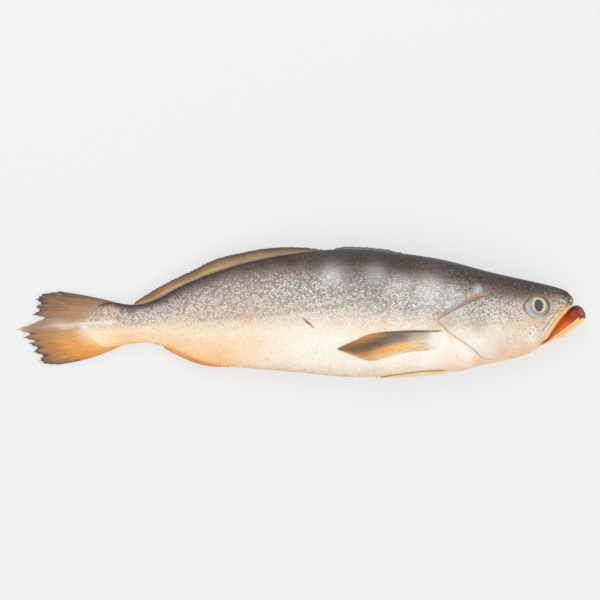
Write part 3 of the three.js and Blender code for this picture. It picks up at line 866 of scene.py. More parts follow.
def scaleTree(surface):
    group, tree, given = growTree("scaleRows", Length="Float", Width="Float", Crown="Float", Lift="Float",
                                  Tilt="Float", Seed="Int")

    def named(name, kind="FLOAT_VECTOR"):
        return tree.add("GeometryNodeInputNamedAttribute", {"data_type": kind}, {"Name": name}, "Attribute")

    def stored(geometry, name, value, kind, domain="POINT"):
        return tree.add("GeometryNodeStoreNamedAttribute", {"data_type": kind, "domain": domain},
                        {"Geometry": geometry, "Name": name, "Value": value}, "Geometry")

    disc = tree.add("GeometryNodeMeshCone", {"fill_type": "NGON"},
                    {"Vertices": scaleForm["sides"], "Radius Top": 0.0, "Radius Bottom": 1.0, "Depth": 1.0},
                    "Mesh")
    here = tree.add("GeometryNodeInputPosition")
    crown = tree.axis(here, "Z")
    disc = stored(disc, "rim", 1 - crown, "FLOAT")
    disc = stored(disc, "spot", here, "FLOAT_VECTOR")
    disc = tree.add("GeometryNodeSetPosition", {}, {"Geometry": disc, "Offset": tree.vector(crown * 0.3, 0.0)},
                    "Geometry")
    turned = tree.add("FunctionNodeAxesToRotation", {"primary_axis": "Z", "secondary_axis": "X"},
                      {"Primary Axis": named("away"), "Secondary Axis": named("trail")}, "Rotation")
    lean, roll = [tree.add("FunctionNodeRandomValue", {"data_type": "FLOAT"}, {2: -1.0, 3: 1.0, "Seed": seed},
                           1)
                  for seed in (given("Seed"), given("Seed") + 7)]
    swing = tree.vector(roll * given("Tilt"), lean * given("Tilt") - given("Lift"), roll * 0.12)
    swing = tree.add("FunctionNodeEulerToRotation", {}, {0: swing})
    turned = tree.add("FunctionNodeRotateRotation", {"rotation_space": "LOCAL"}, {0: turned, 1: swing})
    size = named("size", "FLOAT")
    scaled = tree.vector(size * given("Length"), size * given("Width"), size * given("Crown"))
    laid = tree.add("GeometryNodeInstanceOnPoints", {},
                    {"Points": given("Geometry"), "Instance": disc, "Rotation": turned, "Scale": scaled},
                    "Instances")
    mesh = tree.add("GeometryNodeRealizeInstances", {}, {"Geometry": laid}, "Geometry")
    spot, cell = named("spot"), named("cell")
    wide = tree.axis(cell, "Z")
    u = tree.axis(cell, "X") + tree.axis(spot, "X") * wide
    v = tree.axis(cell, "Y") + tree.axis(spot, "Y") * wide
    mesh = stored(mesh, "OFBake", tree.vector(u, v), "FLOAT2", "CORNER")
    mesh = tree.add("GeometryNodeSetMaterial", {}, {"Geometry": mesh, "Material": surface}, "Geometry")
    tree.add("NodeGroupOutput", {}, {"Geometry": mesh}, None)
    return group


def grown(source, group, values):
    # what the nodes make of the source, as a plain piece
    modifier = source.modifiers.new("grow", "NODES")
    modifier.node_group = group
    for item in group.interface.items_tree:
        if item.item_type == "SOCKET" and item.in_out == "INPUT" and item.name in values:
            modifier[item.identifier] = values[item.name]
    graph = bpy.context.evaluated_depsgraph_get()
    mesh = bpy.data.meshes.new_from_object(source.evaluated_get(graph), preserve_all_data_layers=True,
                                           depsgraph=graph)
    name = source.name
    bpy.data.objects.remove(source)
    piece = bpy.data.objects.new(name, mesh)
    piece.name = mesh.name = name
    scene.collection.objects.link(piece)
    return piece


def makeScaleSkin():
    look = skinLook
    made, tree = material("silverScales")
    at = tree.objectAt()
    up = tree.attribute("up")
    tone = tree.attribute("tone")
    rim = tree.attribute("rim")
    colour = flankColour(tree, look, at, up + tone * 0.014)
    front = tree.axis(at, "X").between(-0.06, 0.05)
    high = up - 0.1 * (1 - front)
    flat = up.between(0.36, 0.56) * (1 - high.between(0.8, 0.9))
    patch = tree.noise(at, 24.0, 3.0)
    middle = 1 - rim.between(0.2, 0.85)
    bright = (tone * 0.7 + patch * 3.0 - 1.3).between(-0.6, 1.2)
    calm = 1 - high.between(0.7, 0.88)
    onHead = tree.axis(at, "X").between(0.1, 0.13) * flat
    # silver at the middle of the brighter scales: painted glints, partly the scales' own silver
    shine = 0.26 + (0.36 + 0.2 * front) * flat + 0.2 * onHead
    colour = tree.mix(bright * middle * shine * calm, colour, look["silverGlint"])
    dull = 1 - (tone + patch * 2.0).between(-0.6, 1.4)
    colour = tree.mix(dull * (0.05 + 0.36 * flat + 0.24 * onHead), colour, look["shade"])
    net = rim.between(0.6, 0.98) * (0.03 + 0.3 * up.between(0.02, 0.2) + 0.3 * up.between(0.32, 0.52))
    colour = tree.mix(net, colour, tree.mix(up.between(0.3, 0.45), (206, 178, 142), look["shade"]))
    colour = marked(tree, look, colour, at)
    tree.finish({"Base Color": colour, "Roughness": 0.38 - 0.14 * flat * bright,
                 "Metallic": 0.3 * flat * bright, "Specular IOR Level": 0.3, "Coat Weight": 0.12,
                 "Coat Roughness": 0.2})
    return made


silverScales = makeScaleSkin()
bodySurface = shapeOf([bpy.data.objects[k] for k in ("fishBody", "rightGillCover", "leftGillCover")])
scaleRows = scaleTree(silverScales)
for side, name in ((1, "rightScales"), (-1, "leftScales")):
    sizes = {key.capitalize(): scaleForm[key] for key in ("length", "width", "crown", "lift", "tilt")}
    scales = grown(scaleBed(name, side), scaleRows, {**sizes, "Seed": scaleForm["seed"] + side})
    onFloor(scales)
    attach(scales, "root")
    print(name, len(scales.data.polygons) // (scaleForm["sides"] + 1), "scales")

rayForm = {"sides": 6, "knots": 0.2, "seed": 5}


def rayTree(surface):
    group, tree, given = growTree("finRays", Sides="Int", Waver="Float", Knots="Float", Seed="Int")
    # each ray wavers a little sideways, and swells a little at its joints
    jog = tree.add("FunctionNodeRandomValue", {"data_type": "FLOAT_VECTOR"},
                   {0: (-1.0, -1.0, -1.0), 1: (1.0, 1.0, 1.0), "Seed": given("Seed")}, 0)
    push = tree.add("ShaderNodeVectorMath", {"operation": "SCALE"}, {0: jog, "Scale": given("Waver") * mm})
    line = tree.add("GeometryNodeSetPosition", {}, {"Geometry": given("Geometry"), "Offset": push}, "Geometry")
    line = tree.add("GeometryNodeMeshToCurve", {}, {"Mesh": line}, "Curve")
    swell = tree.add("FunctionNodeRandomValue", {"data_type": "FLOAT"},
                     {2: 0.0, 3: 1.0, "Seed": given("Seed") + 3}, 1)
    thick = tree.add("GeometryNodeInputNamedAttribute", {"data_type": "FLOAT"}, {"Name": "thick"}, "Attribute")
    ring = tree.add("GeometryNodeCurvePrimitiveCircle", {"mode": "RADIUS"},
                    {"Resolution": given("Sides"), "Radius": 1.0}, "Curve")
    swollen = thick * (1 + swell * given("Knots"))
    tube = tree.add("GeometryNodeCurveToMesh", {},
                    {"Curve": line, "Profile Curve": ring, "Scale": swollen, "Fill Caps": True}, "Mesh")
    tube = tree.add("GeometryNodeRealizeInstances", {}, {"Geometry": tube}, "Geometry")
    tube = tree.add("GeometryNodeSetShadeSmooth", {}, {"Geometry": tube, "Shade Smooth": True}, "Geometry")
    tube = tree.add("GeometryNodeSetMaterial", {}, {"Geometry": tube, "Material": surface}, "Geometry")
    tree.add("NodeGroupOutput", {}, {"Geometry": tube}, None)
    return group


def makeRays(name, lines, surface, waver, knots):
    # lines is a list of (points, radii, attributes), with a value per point in each
    values = {key: np.concatenate([a[key] for _, _, a in lines]) for key in lines[0][2]}
    values["thick"] = np.concatenate([r for _, r, _ in lines]) * mm
    starts = np.cumsum([0] + [len(p) for p, _, _ in lines])
    edges = [(a + k, a + k + 1) for a, b in zip(starts, starts[1:]) for k in range(b - a - 1)]
    threads = meshFrom(name, np.concatenate([p for p, _, _ in lines]), [], values, edges=edges)
    return grown(threads, rayTree(surface), {"Sides": rayForm["sides"], "Waver": waver, "Knots": knots,
                                             "Seed": rayForm["seed"]})


def webbed(web, lines, surface, waver, knots=rayForm["knots"]):
    # a fin of one piece, from its web and the lines of its rays
    rays = makeRays(web.name + "Rays", lines, surface, waver, knots)
    web.data.materials.append(surface)
    piece = joined(web.name, [web, rays])
    onFloor(piece)
    return piece


def finLook(name, ramps, streak, rayTint):
    # ramps is a list of (share along the fin, stops across it)
    made, tree = material(name)
    across, along = tree.attribute("across"), tree.attribute("along")
    at = tree.objectAt()
    drift = (tree.noise(at, 90.0, 3.0) - 0.5) * 0.12
    streaks = tree.noise(tree.vector(across * streak, along * 3.5), 1.0, 4.0, 0.6)
    fine = tree.noise(tree.vector(across * streak * 3.1, along * 6.0, 4.0), 1.0, 3.0, 0.6)
    colour = tree.ramp(across + drift, ramps[0][1])
    for (before, _), (after, stops) in zip(ramps, ramps[1:]):
        colour = tree.mix((along + drift).between(before, after), colour, tree.ramp(across + drift, stops))
    pastRoot = 0.15 + 0.85 * along.between(0.04, 0.24)
    colour = tree.mix(streaks.between(0.5, 0.68) * pastRoot * 0.3, colour, rayTint[0])
    colour = tree.mix((1 - fine.between(0.36, 0.5)) * pastRoot * 0.3, colour, rayTint[1])
    colour = tree.mix(tree.attribute("ray") * pastRoot * 0.16, colour, rayTint[2])
    grain = tree.noise(at, 1500.0, 2.0) * 0.4 + fine * 0.6
    tree.finish({"Base Color": colour, "Roughness": 0.42 - 0.14 * streaks, "Coat Weight": 0.25,
                 "Coat Roughness": 0.18, "Normal": tree.bump(grain, 0.4, 0.0005)})
    return made


def standFor(piece, node):
    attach(piece, "root")
    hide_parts(node)


tailForm = {
    "edge": [(-190, 17), (-204, 15), (-209, 10.4), (-205, 7.4), (-209.4, 4.8), (-206, 2.2), (-212, -1.6),
             (-201, -4), (-214, -9.6), (-225, -13.3), (-213, -17.2), (-219.5, -19.9), (-209, -22.8),
             (-215.5, -24.2), (-207.5, -28), (-211.5, -31.2), (-203.5, -34), (-206.5, -38.2), (-203, -40.6),
             (-192, -41.4)],
    "root": [(-137, 6.3), (-150, 3), (-156, -2), (-158, -9.4), (-156, -17), (-150, -23), (-137, -24.6)],
    "rays": 18, "rootRadius": 0.62, "tipRadius": 0.2, "thickness": 1.9, "splits": 38, "fork": (0.011, 0.005),
}


def tailPlace(across, along):
    # the place at a share across the fan and a share out along it
    rx, ry = tailRootPath(across)
    ex, ey = tailEdgePath(across)
    bow = (0.9 + 1.8 * across**3) * np.sin(math.pi * along) * (0.5 - across) * 2
    return rx + (ex - rx) * along, ry + (ey - ry) * along + bow


def tailHeight(x, y):
    lift = np.maximum(middleOf(x), 1.3)
    return lift + 0.5 * smooth(-170, -200, x) * (1 + ripple(x, y, 30, 9))


def makeTail():
    form = tailForm
    across, along = np.meshgrid(np.linspace(0, 1, 230), np.linspace(0, 1, 60), indexing="ij")
    count = form["rays"]
    between = np.abs(np.sin(across * count * math.pi))
    frayed = 1 - 0.03 * np.abs(np.sin(across * form["splits"] * math.pi))
    frayed = frayed - 0.012 * ripple(across * 90, across, 5, 2) ** 2
    run = along * (1 + (frayed - 1) * smooth(0.5, 1, along))
    x, y = tailPlace(across, run)
    z = tailHeight(x, y)
    thick = form["thickness"] * (1 - 0.8 * along) * (0.75 + 0.25 * between)
    edge = np.minimum(across, 1 - across)
    thick = thick * smooth(0, 0.02, edge + 0.006)
    centre = np.stack([x, y, z], -1)
    flat = np.zeros(centre.shape)
    flat[..., 2] = 1
    web = sheet("tailFin", centre, flat, thick, {"across": across, "along": along, "ray": across * 0})
    lines = []
    for k in range(count):
        at = (k + 0.5) / count
        for side in (-1, 1):
            for twig in (-1, 1):
                s = np.linspace(0.02, 0.985, 26)
                split = smooth(0.3, 0.75, s) * side * form["fork"][0]
                split = split + smooth(0.6, 1.0, s) * twig * form["fork"][1]
                a = np.clip(at + split, 0.004, 0.996)
                px, py = tailPlace(a, s * (0.975 + 0.02 * math.sin(k * 5 + twig)))
                pz = tailHeight(px, py)
                size = form["rootRadius"] * (1 - s) ** 0.7 + form["tipRadius"]
                points = np.stack([px, py, np.maximum(pz, size + 0.1)], -1)
                lines.append((points, size * 0.8, {"across": a, "along": s, "ray": s * 0 + 1}))
    return webbed(web, lines, tailSkin, 0.06, 0.25)


tailRootPath, tailEdgePath = pathThrough(tailForm["root"]), pathThrough(tailForm["edge"], True)
tailSkin = finLook("tailFinSkin", [
    (0.1, [(0, (84, 66, 54)), (0.06, (150, 124, 98)), (0.2, (184, 158, 128)), (0.36, (190, 166, 140)),
           (0.44, (230, 212, 194)), (0.5, (250, 240, 232)), (0.6, (250, 228, 204)), (0.72, (252, 210, 150)),
           (0.84, (250, 186, 92)), (0.97, (244, 168, 72)), (1, (220, 148, 78))]),
    (0.42, [(0, (72, 56, 44)), (0.05, (140, 98, 60)), (0.22, (166, 114, 68)), (0.38, (176, 134, 100)),
            (0.46, (222, 198, 178)), (0.53, (196, 144, 92)), (0.68, (230, 160, 76)), (0.86, (232, 152, 56)),
            (0.98, (216, 142, 60)), (1, (170, 112, 56))]),
    (0.84, [(0, (78, 62, 50)), (0.1, (132, 90, 54)), (0.3, (146, 98, 58)), (0.42, (166, 132, 106)),
            (0.5, (154, 116, 84)), (0.64, (184, 122, 60)), (0.85, (176, 118, 58)), (0.97, (140, 96, 56)),
            (1, (84, 64, 48))]),
    (1.0, [(0, (56, 50, 46)), (0.3, (78, 66, 54)), (0.42, (150, 128, 110)), (0.47, (206, 186, 166)),
           (0.52, (104, 80, 62)), (0.8, (74, 60, 48)), (1, (56, 48, 44))]),
], 46.0, ((226, 178, 118), (84, 58, 38), (140, 100, 66)))
tailFin = makeTail()
standFor(tailFin, "tail_fin")
print("tail fin")


def makeMiddleFin(name, base, surface):
    # a fin folded down along the back or the belly, its rays lying one over the next
    form = middleFins[name]
    start, stop, step, thick = form["start"], form["stop"], form["step"], form["thick"]
    crest = heightOver(form["crest"])
    up = 1 if base is back else -1
    columns = int(abs(stop - start) / 0.8)
    x, rise = np.meshgrid(np.linspace(start, stop, columns), np.linspace(0, 1, 22), indexing="ij")
    saw = (x / step) % 1
    top = crest(x) + up * form["notch"] * (saw - 0.6) + up * 0.3 * form["notch"] * ripple(x, x * 0, 6, 7)
    y = base(x) - up * form["sink"]
    y = y + (top - y) * rise
    ends = np.clip(np.minimum(np.abs(x - start), np.abs(x - stop)) / 6, 0, 1) ** 0.5
    y = y - up * (1 - ends) * rise * 1.5
    pleat = np.abs(np.sin(math.pi * (x + form["lean"] * rise) / step))
    width = thick * (1 - form["taper"] * rise) * (0.7 + 0.3 * pleat) * np.maximum(ends, 0.1)
    centre = np.stack([x, y, middleOf(x) + 0.35 * ripple(x, y, 24, 6)], -1)
    flat = np.zeros(centre.shape)
    flat[..., 2] = 1
    along = (x - start) / (stop - start)
    web = sheet(name, centre, flat, width, {"across": rise, "along": along, "ray": rise * 0, "pleat": pleat})
    lines = []
    for k in range(int(abs(stop - start) / step)):
        for side in (-1, 1):
            s = np.linspace(0.12, 1.0, 12)
            px = start - (k + 0.3 * side) * step - form["lean"] * s
            inside = px > stop + 1
            if inside.sum() < 5:
                continue
            px, s = px[inside], s[inside]
            low = base(px) - up * form["sink"]
            py = low + (crest(px) + up * 0.15 - low) * s
            pz = middleOf(px) + side * thick * 0.5 * (1 - form["taper"] * s) * 0.82
            size = form["rayRadius"] * (1.1 - 0.7 * s)
            values = {"across": s, "along": (px - start) / (stop - start), "ray": s * 0 + 1}
            lines.append((np.stack([px, py, pz], -1), size, values))
    return webbed(web, lines, surface, 0.08)


middleFins = {
    "softDorsalFin": {
        "start": 26, "stop": -131, "sink": 1.6, "thick": 3.0, "taper": 0.68, "lean": 20, "step": 3.1,
        "notch": 0.9, "rayRadius": 0.42,
        "crest": [(-131, 7), (-121, 13.6), (-103, 24), (-84, 33), (-66, 41.8), (-47, 46.6), (-26, 50.4),
                  (-5, 51.3), (13, 50.2), (26, 48.4)],
    },
    "spinyDorsalFin": {
        "start": 84, "stop": 27, "sink": 1.4, "thick": 3.0, "taper": 0.68, "lean": 15, "step": 5.4,
        "notch": 1.3, "rayRadius": 0.62, "crest": [(26, 49.6), (36, 51.4), (52, 50.9), (68, 49.4), (86, 46)],
    },
    "analFin": {
        "start": -50, "stop": -108, "sink": 1.6, "thick": 2.6, "taper": 0.68, "lean": 16, "step": 3.4,
        "notch": 1.1, "rayRadius": 0.42,
        "crest": [(-108, -26.3), (-98, -32.3), (-84, -38.6), (-70, -41.9), (-50, -42.8)],
    },
}
dorsalSkin = finLook("dorsalFinSkin", [
    (0.0, [(0, (70, 58, 48)), (0.16, (112, 94, 70)), (0.34, (162, 140, 104)), (0.52, (150, 124, 88)),
           (0.76, (112, 88, 62)), (0.9, (66, 50, 38)), (1, (38, 32, 30))]),
    (0.45, [(0, (76, 62, 52)), (0.16, (128, 108, 80)), (0.32, (190, 168, 130)), (0.46, (176, 144, 100)),
            (0.72, (130, 92, 54)), (0.9, (70, 50, 36)), (1, (36, 30, 28))]),
    (0.95, [(0, (80, 64, 50)), (0.2, (150, 122, 86)), (0.38, (204, 176, 134)), (0.55, (166, 112, 58)),
            (0.84, (140, 90, 48)), (0.94, (66, 48, 36)), (1, (40, 32, 30))]),
], 20.0, ((204, 178, 134), (82, 62, 42), (142, 112, 78)))
standFor(makeMiddleFin("softDorsalFin", back, dorsalSkin), "soft_dorsal_fin")

spinySkin = finLook("spinyFinSkin", [
    (0.0, [(0, (96, 84, 78)), (0.4, (150, 140, 132)), (0.7, (120, 106, 96)), (1, (76, 66, 62))]),
    (1.0, [(0, (96, 84, 78)), (0.4, (170, 160, 150)), (0.7, (112, 98, 90)), (1, (74, 64, 60))]),
], 26.0, ((196, 188, 176), (72, 62, 58), (176, 164, 150)))
standFor(makeMiddleFin("spinyDorsalFin", back, spinySkin), "spiny_dorsal_fin")

analSkin = finLook("analFinSkin", [
    (0.0, [(0, (244, 196, 138)), (0.4, (244, 180, 104)), (0.75, (238, 160, 80)), (1, (214, 138, 72))]),
    (1.0, [(0, (242, 190, 130)), (0.5, (240, 166, 84)), (1, (196, 126, 66))]),
], 18.0, ((250, 206, 140), (196, 122, 62), (246, 184, 110)))
standFor(makeMiddleFin("analFin", belly, analSkin), "anal_fin")
print("dorsal and anal fins")


def pectoralPlace(across, along):
    # a place on the fin and its width there
    (ux, uy), (lx, ly) = [path(along) for path in pectoralPath]
    return ux + (lx - ux) * across, uy + (ly - uy) * across, np.hypot(ux - lx, uy - ly)


def makePectoral(name, side):
    form = pectoralForm
    across, along = np.meshgrid(np.linspace(0, 1, 96), np.linspace(0, 1, 110), indexing="ij")
    ridge = np.abs(np.sin(across * form["ridges"] * math.pi))
    x, y, wide = pectoralPlace(across, along)
    x = x + form["fray"] * ridge * smooth(0.85, 1, along)
    edge = np.minimum(across, 1 - across) * wide
    rooted = smooth(0.0, 0.14, along)
    lowSide = smooth(0.72, 1.0, across)
    # its root is sunk in the flank, and its lower edge lies close to the skin
    lift = form["sunk"] + form["rise"] * rooted - 0.35 * along + 0.25 * ridge * rooted
    lift = lift - 0.35 * smooth(2, 0, edge) - form["lowEdge"] * lowSide * smooth(1.0, 0.7, along)
    thick = (0.35 + 0.6 * (1 - along)) * np.sqrt(np.clip(edge / 1.6, 0.04, 1)) * (1 - 0.5 * lowSide)
    centre, away = onFlank(x, y, side, lift)
    web = sheet(name, centre, away, thick, {"across": across, "along": along, "ray": across * 0})
    lines = []
    for k in range(form["rays"]):
        for fork in (-1, 1):
            s = np.linspace(0.04, 0.995, 30)
            a = np.clip((k + 0.5) / form["rays"] + fork * form["fork"] * smooth(0.4, 0.9, s), 0.01, 0.99)
            px, py, _ = pectoralPlace(a, s)
            lift = form["sunk"] + form["rayRise"] * smooth(0, 0.16, s) - 0.4 * s
            lift = lift - form["lowEdge"] * smooth(0.72, 1.0, a) * smooth(1.0, 0.7, s)
            point, _ = onFlank(px, py, side, lift)
            size = form["rayRadius"] * (1 - s) ** 0.8 + form["rayTip"]
            lines.append((point, size, {"across": a, "along": s, "ray": s * 0 + 1}))
    return webbed(web, lines, pectoralSkin, 0.05)


pectoralSkin = finLook("pectoralFinSkin", [
    (0.14, [(0, (84, 68, 50)), (0.045, (196, 182, 160)), (0.1, (250, 242, 226)), (0.6, (253, 246, 232)),
            (1, (254, 248, 236))]),
    (0.27, [(0, (44, 34, 22)), (0.05, (84, 68, 44)), (0.13, (190, 180, 166)), (0.35, (226, 214, 198)),
            (0.6, (250, 228, 192)), (0.85, (253, 212, 148)), (1, (253, 240, 214))]),
    (0.45, [(0, (78, 54, 26)), (0.05, (150, 104, 44)), (0.12, (122, 102, 76)), (0.3, (104, 95, 90)),
            (0.44, (150, 126, 98)), (0.58, (250, 196, 114)), (0.8, (255, 204, 128)), (1, (254, 240, 210))]),
    (0.64, [(0, (214, 146, 54)), (0.13, (190, 128, 48)), (0.24, (108, 86, 58)), (0.4, (80, 69, 58)),
            (0.52, (140, 98, 50)), (0.64, (244, 166, 74)), (0.84, (254, 202, 130)), (1, (254, 240, 210))]),
    (0.92, [(0, (196, 128, 42)), (0.22, (122, 84, 36)), (0.5, (104, 70, 32)), (0.72, (190, 122, 48)),
            (1, (246, 200, 136))]),
], 30.0, ((222, 184, 130), (58, 42, 28), (150, 126, 96)))
for side, name, node in ((1, "rightPectoralFin", "right_pectoral_fin"),
                         (-1, "leftPectoralFin", "left_pectoral_fin")):
    standFor(makePectoral(name, side), node)


pelvicForm = {"root": 121, "tip": 64, "width": 0.24, "inset": 0.06, "rays": 6, "rayRadius": 0.62,
              "rayTip": 0.14}


def makePelvic(name, side):
    form = pelvicForm
    across, along = np.meshgrid(np.linspace(0, 1, 40), np.linspace(0, 1, 90), indexing="ij")

    def place(a, s, lift):
        x = form["root"] + (form["tip"] - form["root"]) * s
        spread = form["width"] * np.sin(math.pi * np.clip(s * 0.93 + 0.07, 0, 1)) ** 0.55 + 0.02
        turn = side * (math.pi - form["inset"] - spread * a)
        return skin(x, turn) + normalAt(x, turn) * lift[..., None], normalAt(x, turn)

    edge = np.minimum(across, 1 - across) * np.sin(math.pi * np.clip(along, 0.02, 0.98))
    ridge = np.abs(np.sin(across * form["rays"] * math.pi))
    lift = -0.8 + 1.7 * smooth(0, 0.16, along) - 0.4 * along + 0.35 * ridge * smooth(0, 0.2, along)
    centre, away = place(across, along, lift)
    thick = 0.3 + 1.1 * (1 - along) * np.sqrt(np.clip(edge / 0.12, 0.05, 1))
    web = sheet(name, centre, away, thick, {"across": across, "along": along, "ray": across * 0})
    lines = []
    for k in range(form["rays"]):
        s = np.linspace(0.01, 0.99, 26)
        a = s * 0 + (k + 0.5) / form["rays"]
        point, _ = place(a, s, -0.8 + 2.1 * smooth(0, 0.16, s) - 0.4 * s)
        size = form["rayRadius"] * (1 - s) ** 0.8 + form["rayTip"]
        lines.append((point, size, {"across": a, "along": s, "ray": s * 0 + 1}))
    return webbed(web, lines, pelvicSkin, 0.05)


pelvicSkin = finLook("pelvicFinSkin", [
    (0.0, [(0, (246, 216, 170)), (0.5, (250, 236, 212)), (1, (246, 214, 166))]),
    (1.0, [(0, (246, 200, 128)), (0.2, (250, 228, 190)), (0.8, (250, 226, 186)), (1, (240, 176, 98))]),
], 14.0, ((254, 240, 210), (240, 186, 122), (246, 206, 150)))
for side, name, node in ((1, "rightPelvicFin", "right_pelvic_fin"), (-1, "leftPelvicFin", "left_pelvic_fin")):
    standFor(makePelvic(name, side), node)
print("side fins")

jawForm = {
    "nearLip": [(184, -25.5), (190, -24.6), (193, -23.2), (198.4, -19.2), (204.6, -14.8), (208.3, -12.2),
                (212.5, -9.3), (216.6, -6.4), (220.8, -3), (226, -1.6)],
    "farLip": [(184, -25.5), (190, -24.4), (193, -22.2), (197, -15), (201, -9.2), (204, -5.6), (208.3, -1.4),
               (211.4, 1.2), (214.6, 3.4), (217.2, 4.8), (220.3, 5.0), (222.9, 3.6), (226, 0.8)],
    "chin": [(184, -26.6), (190, -25.6), (193, -24.6), (198, -22.3), (206, -19.6), (213, -15.8), (220.5, -10.6),
             (226, -4.6)],
    "halfWidth": [(184, 2), (189, 4.6), (192, 8), (195, 10.8), (198, 11.3), (203, 10.6), (213, 8.2), (221, 5.8),
                  (226, 3.6)],
    "wall": 2.4, "from": 186.0, "to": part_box("lower_jaw")[1].x / mm + 0.9, "round": 3.2,
    "rings": 120, "columns": 53,
}
nearLip, farLip, jawChin, jawHalf = [heightOver(jawForm[k]) for k in ("nearLip", "farLip", "chin", "halfWidth")]


def jawLip(x, aside):
    # the lip's height, with aside from 1 on the near side to -1 on the far side
    return nearLip(x) + (farLip(x) - nearLip(x)) * smooth(0.55, -0.75, aside)


def jawUnder(lip, chin, turn):
    # the height of the jaw's outer skin, from the chin at no turn up to the lip
    return lip + (chin - lip) * np.cos(turn) ** 0.8


def lofted(name, rings, attributes):
    # a closed form through the rings, with its two ends drawn in to a point
    rows, count = rings.shape[:2]
    points = np.concatenate([rings.reshape(-1, 3), [rings[0].mean(0), rings[-1].mean(0)]])
    values = {k: np.concatenate([v.ravel(), [v[0].mean(), v[-1].mean()]]) for k, v in attributes.items()}
    piece = meshFrom(name, points, closedFaces(rows, count), values)
    outward(piece)
    return piece


def makeJaw():
    form = jawForm
    share = np.linspace(0, 1, form["rings"])
    x = (form["from"] + (form["to"] - form["from"]) * (1 - (1 - share) ** 1.6))[:, None]
    ahead = np.clip((x - form["to"] + form["round"]) / form["round"], 0, 1)
    close = np.sqrt(np.clip(1 - ahead**2, 0.0004, 1))
    q = np.linspace(-1, 1, form["columns"])[None, :]
    edge = np.ones((1, 1))
    aside = np.concatenate([q, edge * 0.97, q[:, ::-1], -edge * 0.97], 1) + 0 * x
    outer = np.concatenate([np.ones(q.shape), edge * 0.5, np.zeros(q.shape), edge * 0.5], 1) + 0 * x
    lip, chin = jawLip(x, aside), jawChin(x) + 0 * aside
    mid = (nearLip(x) + farLip(x) + 2 * jawChin(x)) / 4
    lip, chin = mid + (lip - mid) * close, mid + (chin - mid) * close
    half = jawHalf(x) * close
    wall = np.minimum(form["wall"], half * 0.55)
    turn = np.abs(aside) * math.pi / 2
    trough = chin + wall + 0.8 * close + (lip - chin - wall) * smooth(216.5, 221.5, x)
    trough = np.minimum(trough, lip - 0.2)
    y = np.where(outer > 0.9, jawUnder(lip, chin, turn), lip + (trough - lip) * np.cos(turn) ** 0.6)
    z = np.where(outer > 0.9, half * np.sin(turn) ** 0.75, (half - wall) * np.sin(turn) ** 0.6) * np.sign(aside)
    between = (outer > 0.4) & (outer < 0.6)
    y = np.where(between, lip + 0.75 * close, y)
    z = np.where(between, np.sign(aside) * (half - wall * 0.45), z)
    wide = np.broadcast_to(x, y.shape)
    rim = np.where(between, 1, 1 - np.cos(turn))
    body = np.sin(math.pi * np.clip((x - 187) / 37, 0, 1))
    lump = 0.45 * ripple(wide, z, 8, 14) + 0.4 * ripple(wide, y, 17, 15)
    y = y - np.where(outer > 0.9, lump * body * (1 - rim), 0)
    fold = 0.5 * bell(rim - 0.9, 0.07) - 0.45 * bell(rim - 0.7, 0.06) + 0.3 * bell(rim - 0.5, 0.1)
    z = z + np.sign(z) * np.where(outer > 0.9, fold * close + 0.4 * lump * body, 0)
    rings = np.stack([wide, y, middleOf(x) + z], -1)
    tip = smooth(0.62, 1.0, rim) * smooth(217.5, 221.5, x) + smooth(222.6, 224.6, x) * smooth(-7.5, -3, y)
    tip = np.maximum(tip, smooth(214.5, 218.5, x) * (aside < -0.2) * smooth(0.8, 1.0, rim))
    deep = smooth(203, 217, x) + 0 * y
    piece = lofted("lowerJaw", rings, {"rim": rim, "outer": outer, "tipDark": np.clip(tip, 0, 1), "deep": deep})
    piece.data.materials.append(jawSkin)
    return piece


jawLook = {
    "pale": (252, 222, 192), "peach": (250, 200, 148), "pink": (246, 212, 198), "lip": (252, 186, 112),
    "flesh": (244, 128, 36), "deep": (132, 46, 20), "tip": (52, 44, 38), "tipGlint": (112, 92, 70),
}


def makeJawSkin():
    look = jawLook
    made, tree = material("jawSkin")
    at = tree.objectAt()
    mottle = tree.noise(at, 130.0, 4.0)
    colour = tree.ramp(mottle, [(0.25, look["peach"]), (0.5, look["pale"]), (0.72, look["pink"])])
    rim = tree.attribute("rim")
    colour = tree.mix((rim + mottle * 0.5 - 0.25).between(0.3, 0.62) * 0.75, colour, look["lip"])
    inside = tree.mix(tree.attribute("deep") * 0.8 + (tree.noise(at, 220.0) - 0.5), look["flesh"], look["deep"])
    colour = tree.mix(1 - tree.attribute("outer").between(0.1, 0.6), colour, inside)
    dark = tree.attribute("tipDark") * (0.5 + mottle)
    tip = tree.mix(mottle.between(0.35, 0.6), look["tip"], look["tipGlint"])
    colour = tree.mix(dark.between(0.2, 0.75), colour, tip)
    grain = tree.noise(at, 900.0, 3.0)
    tree.finish({"Base Color": colour, "Roughness": 0.22 + 0.25 * mottle, "Coat Weight": 0.45,
                 "Coat Roughness": 0.1, "Normal": tree.bump(grain, 0.4, 0.0006)})
    return made


jawSkin = makeJawSkin()
lowerJaw = makeJaw()
standFor(lowerJaw, "lower_jaw")

fleshForm = {
    "from": 188.4, "to": 221.4, "rearRound": 3, "frontRound": 5, "rings": 96, "round": 72,
    "creases": [(0.5, 0.09, 1.0), (0.12, 0.08, 0.6)],  # how far aside, width, strength
    "creaseDepth": 1.1, "foldHeight": 0.35, "floor": 1.6, "overlap": 0.7, "underSkin": 1.0,
}


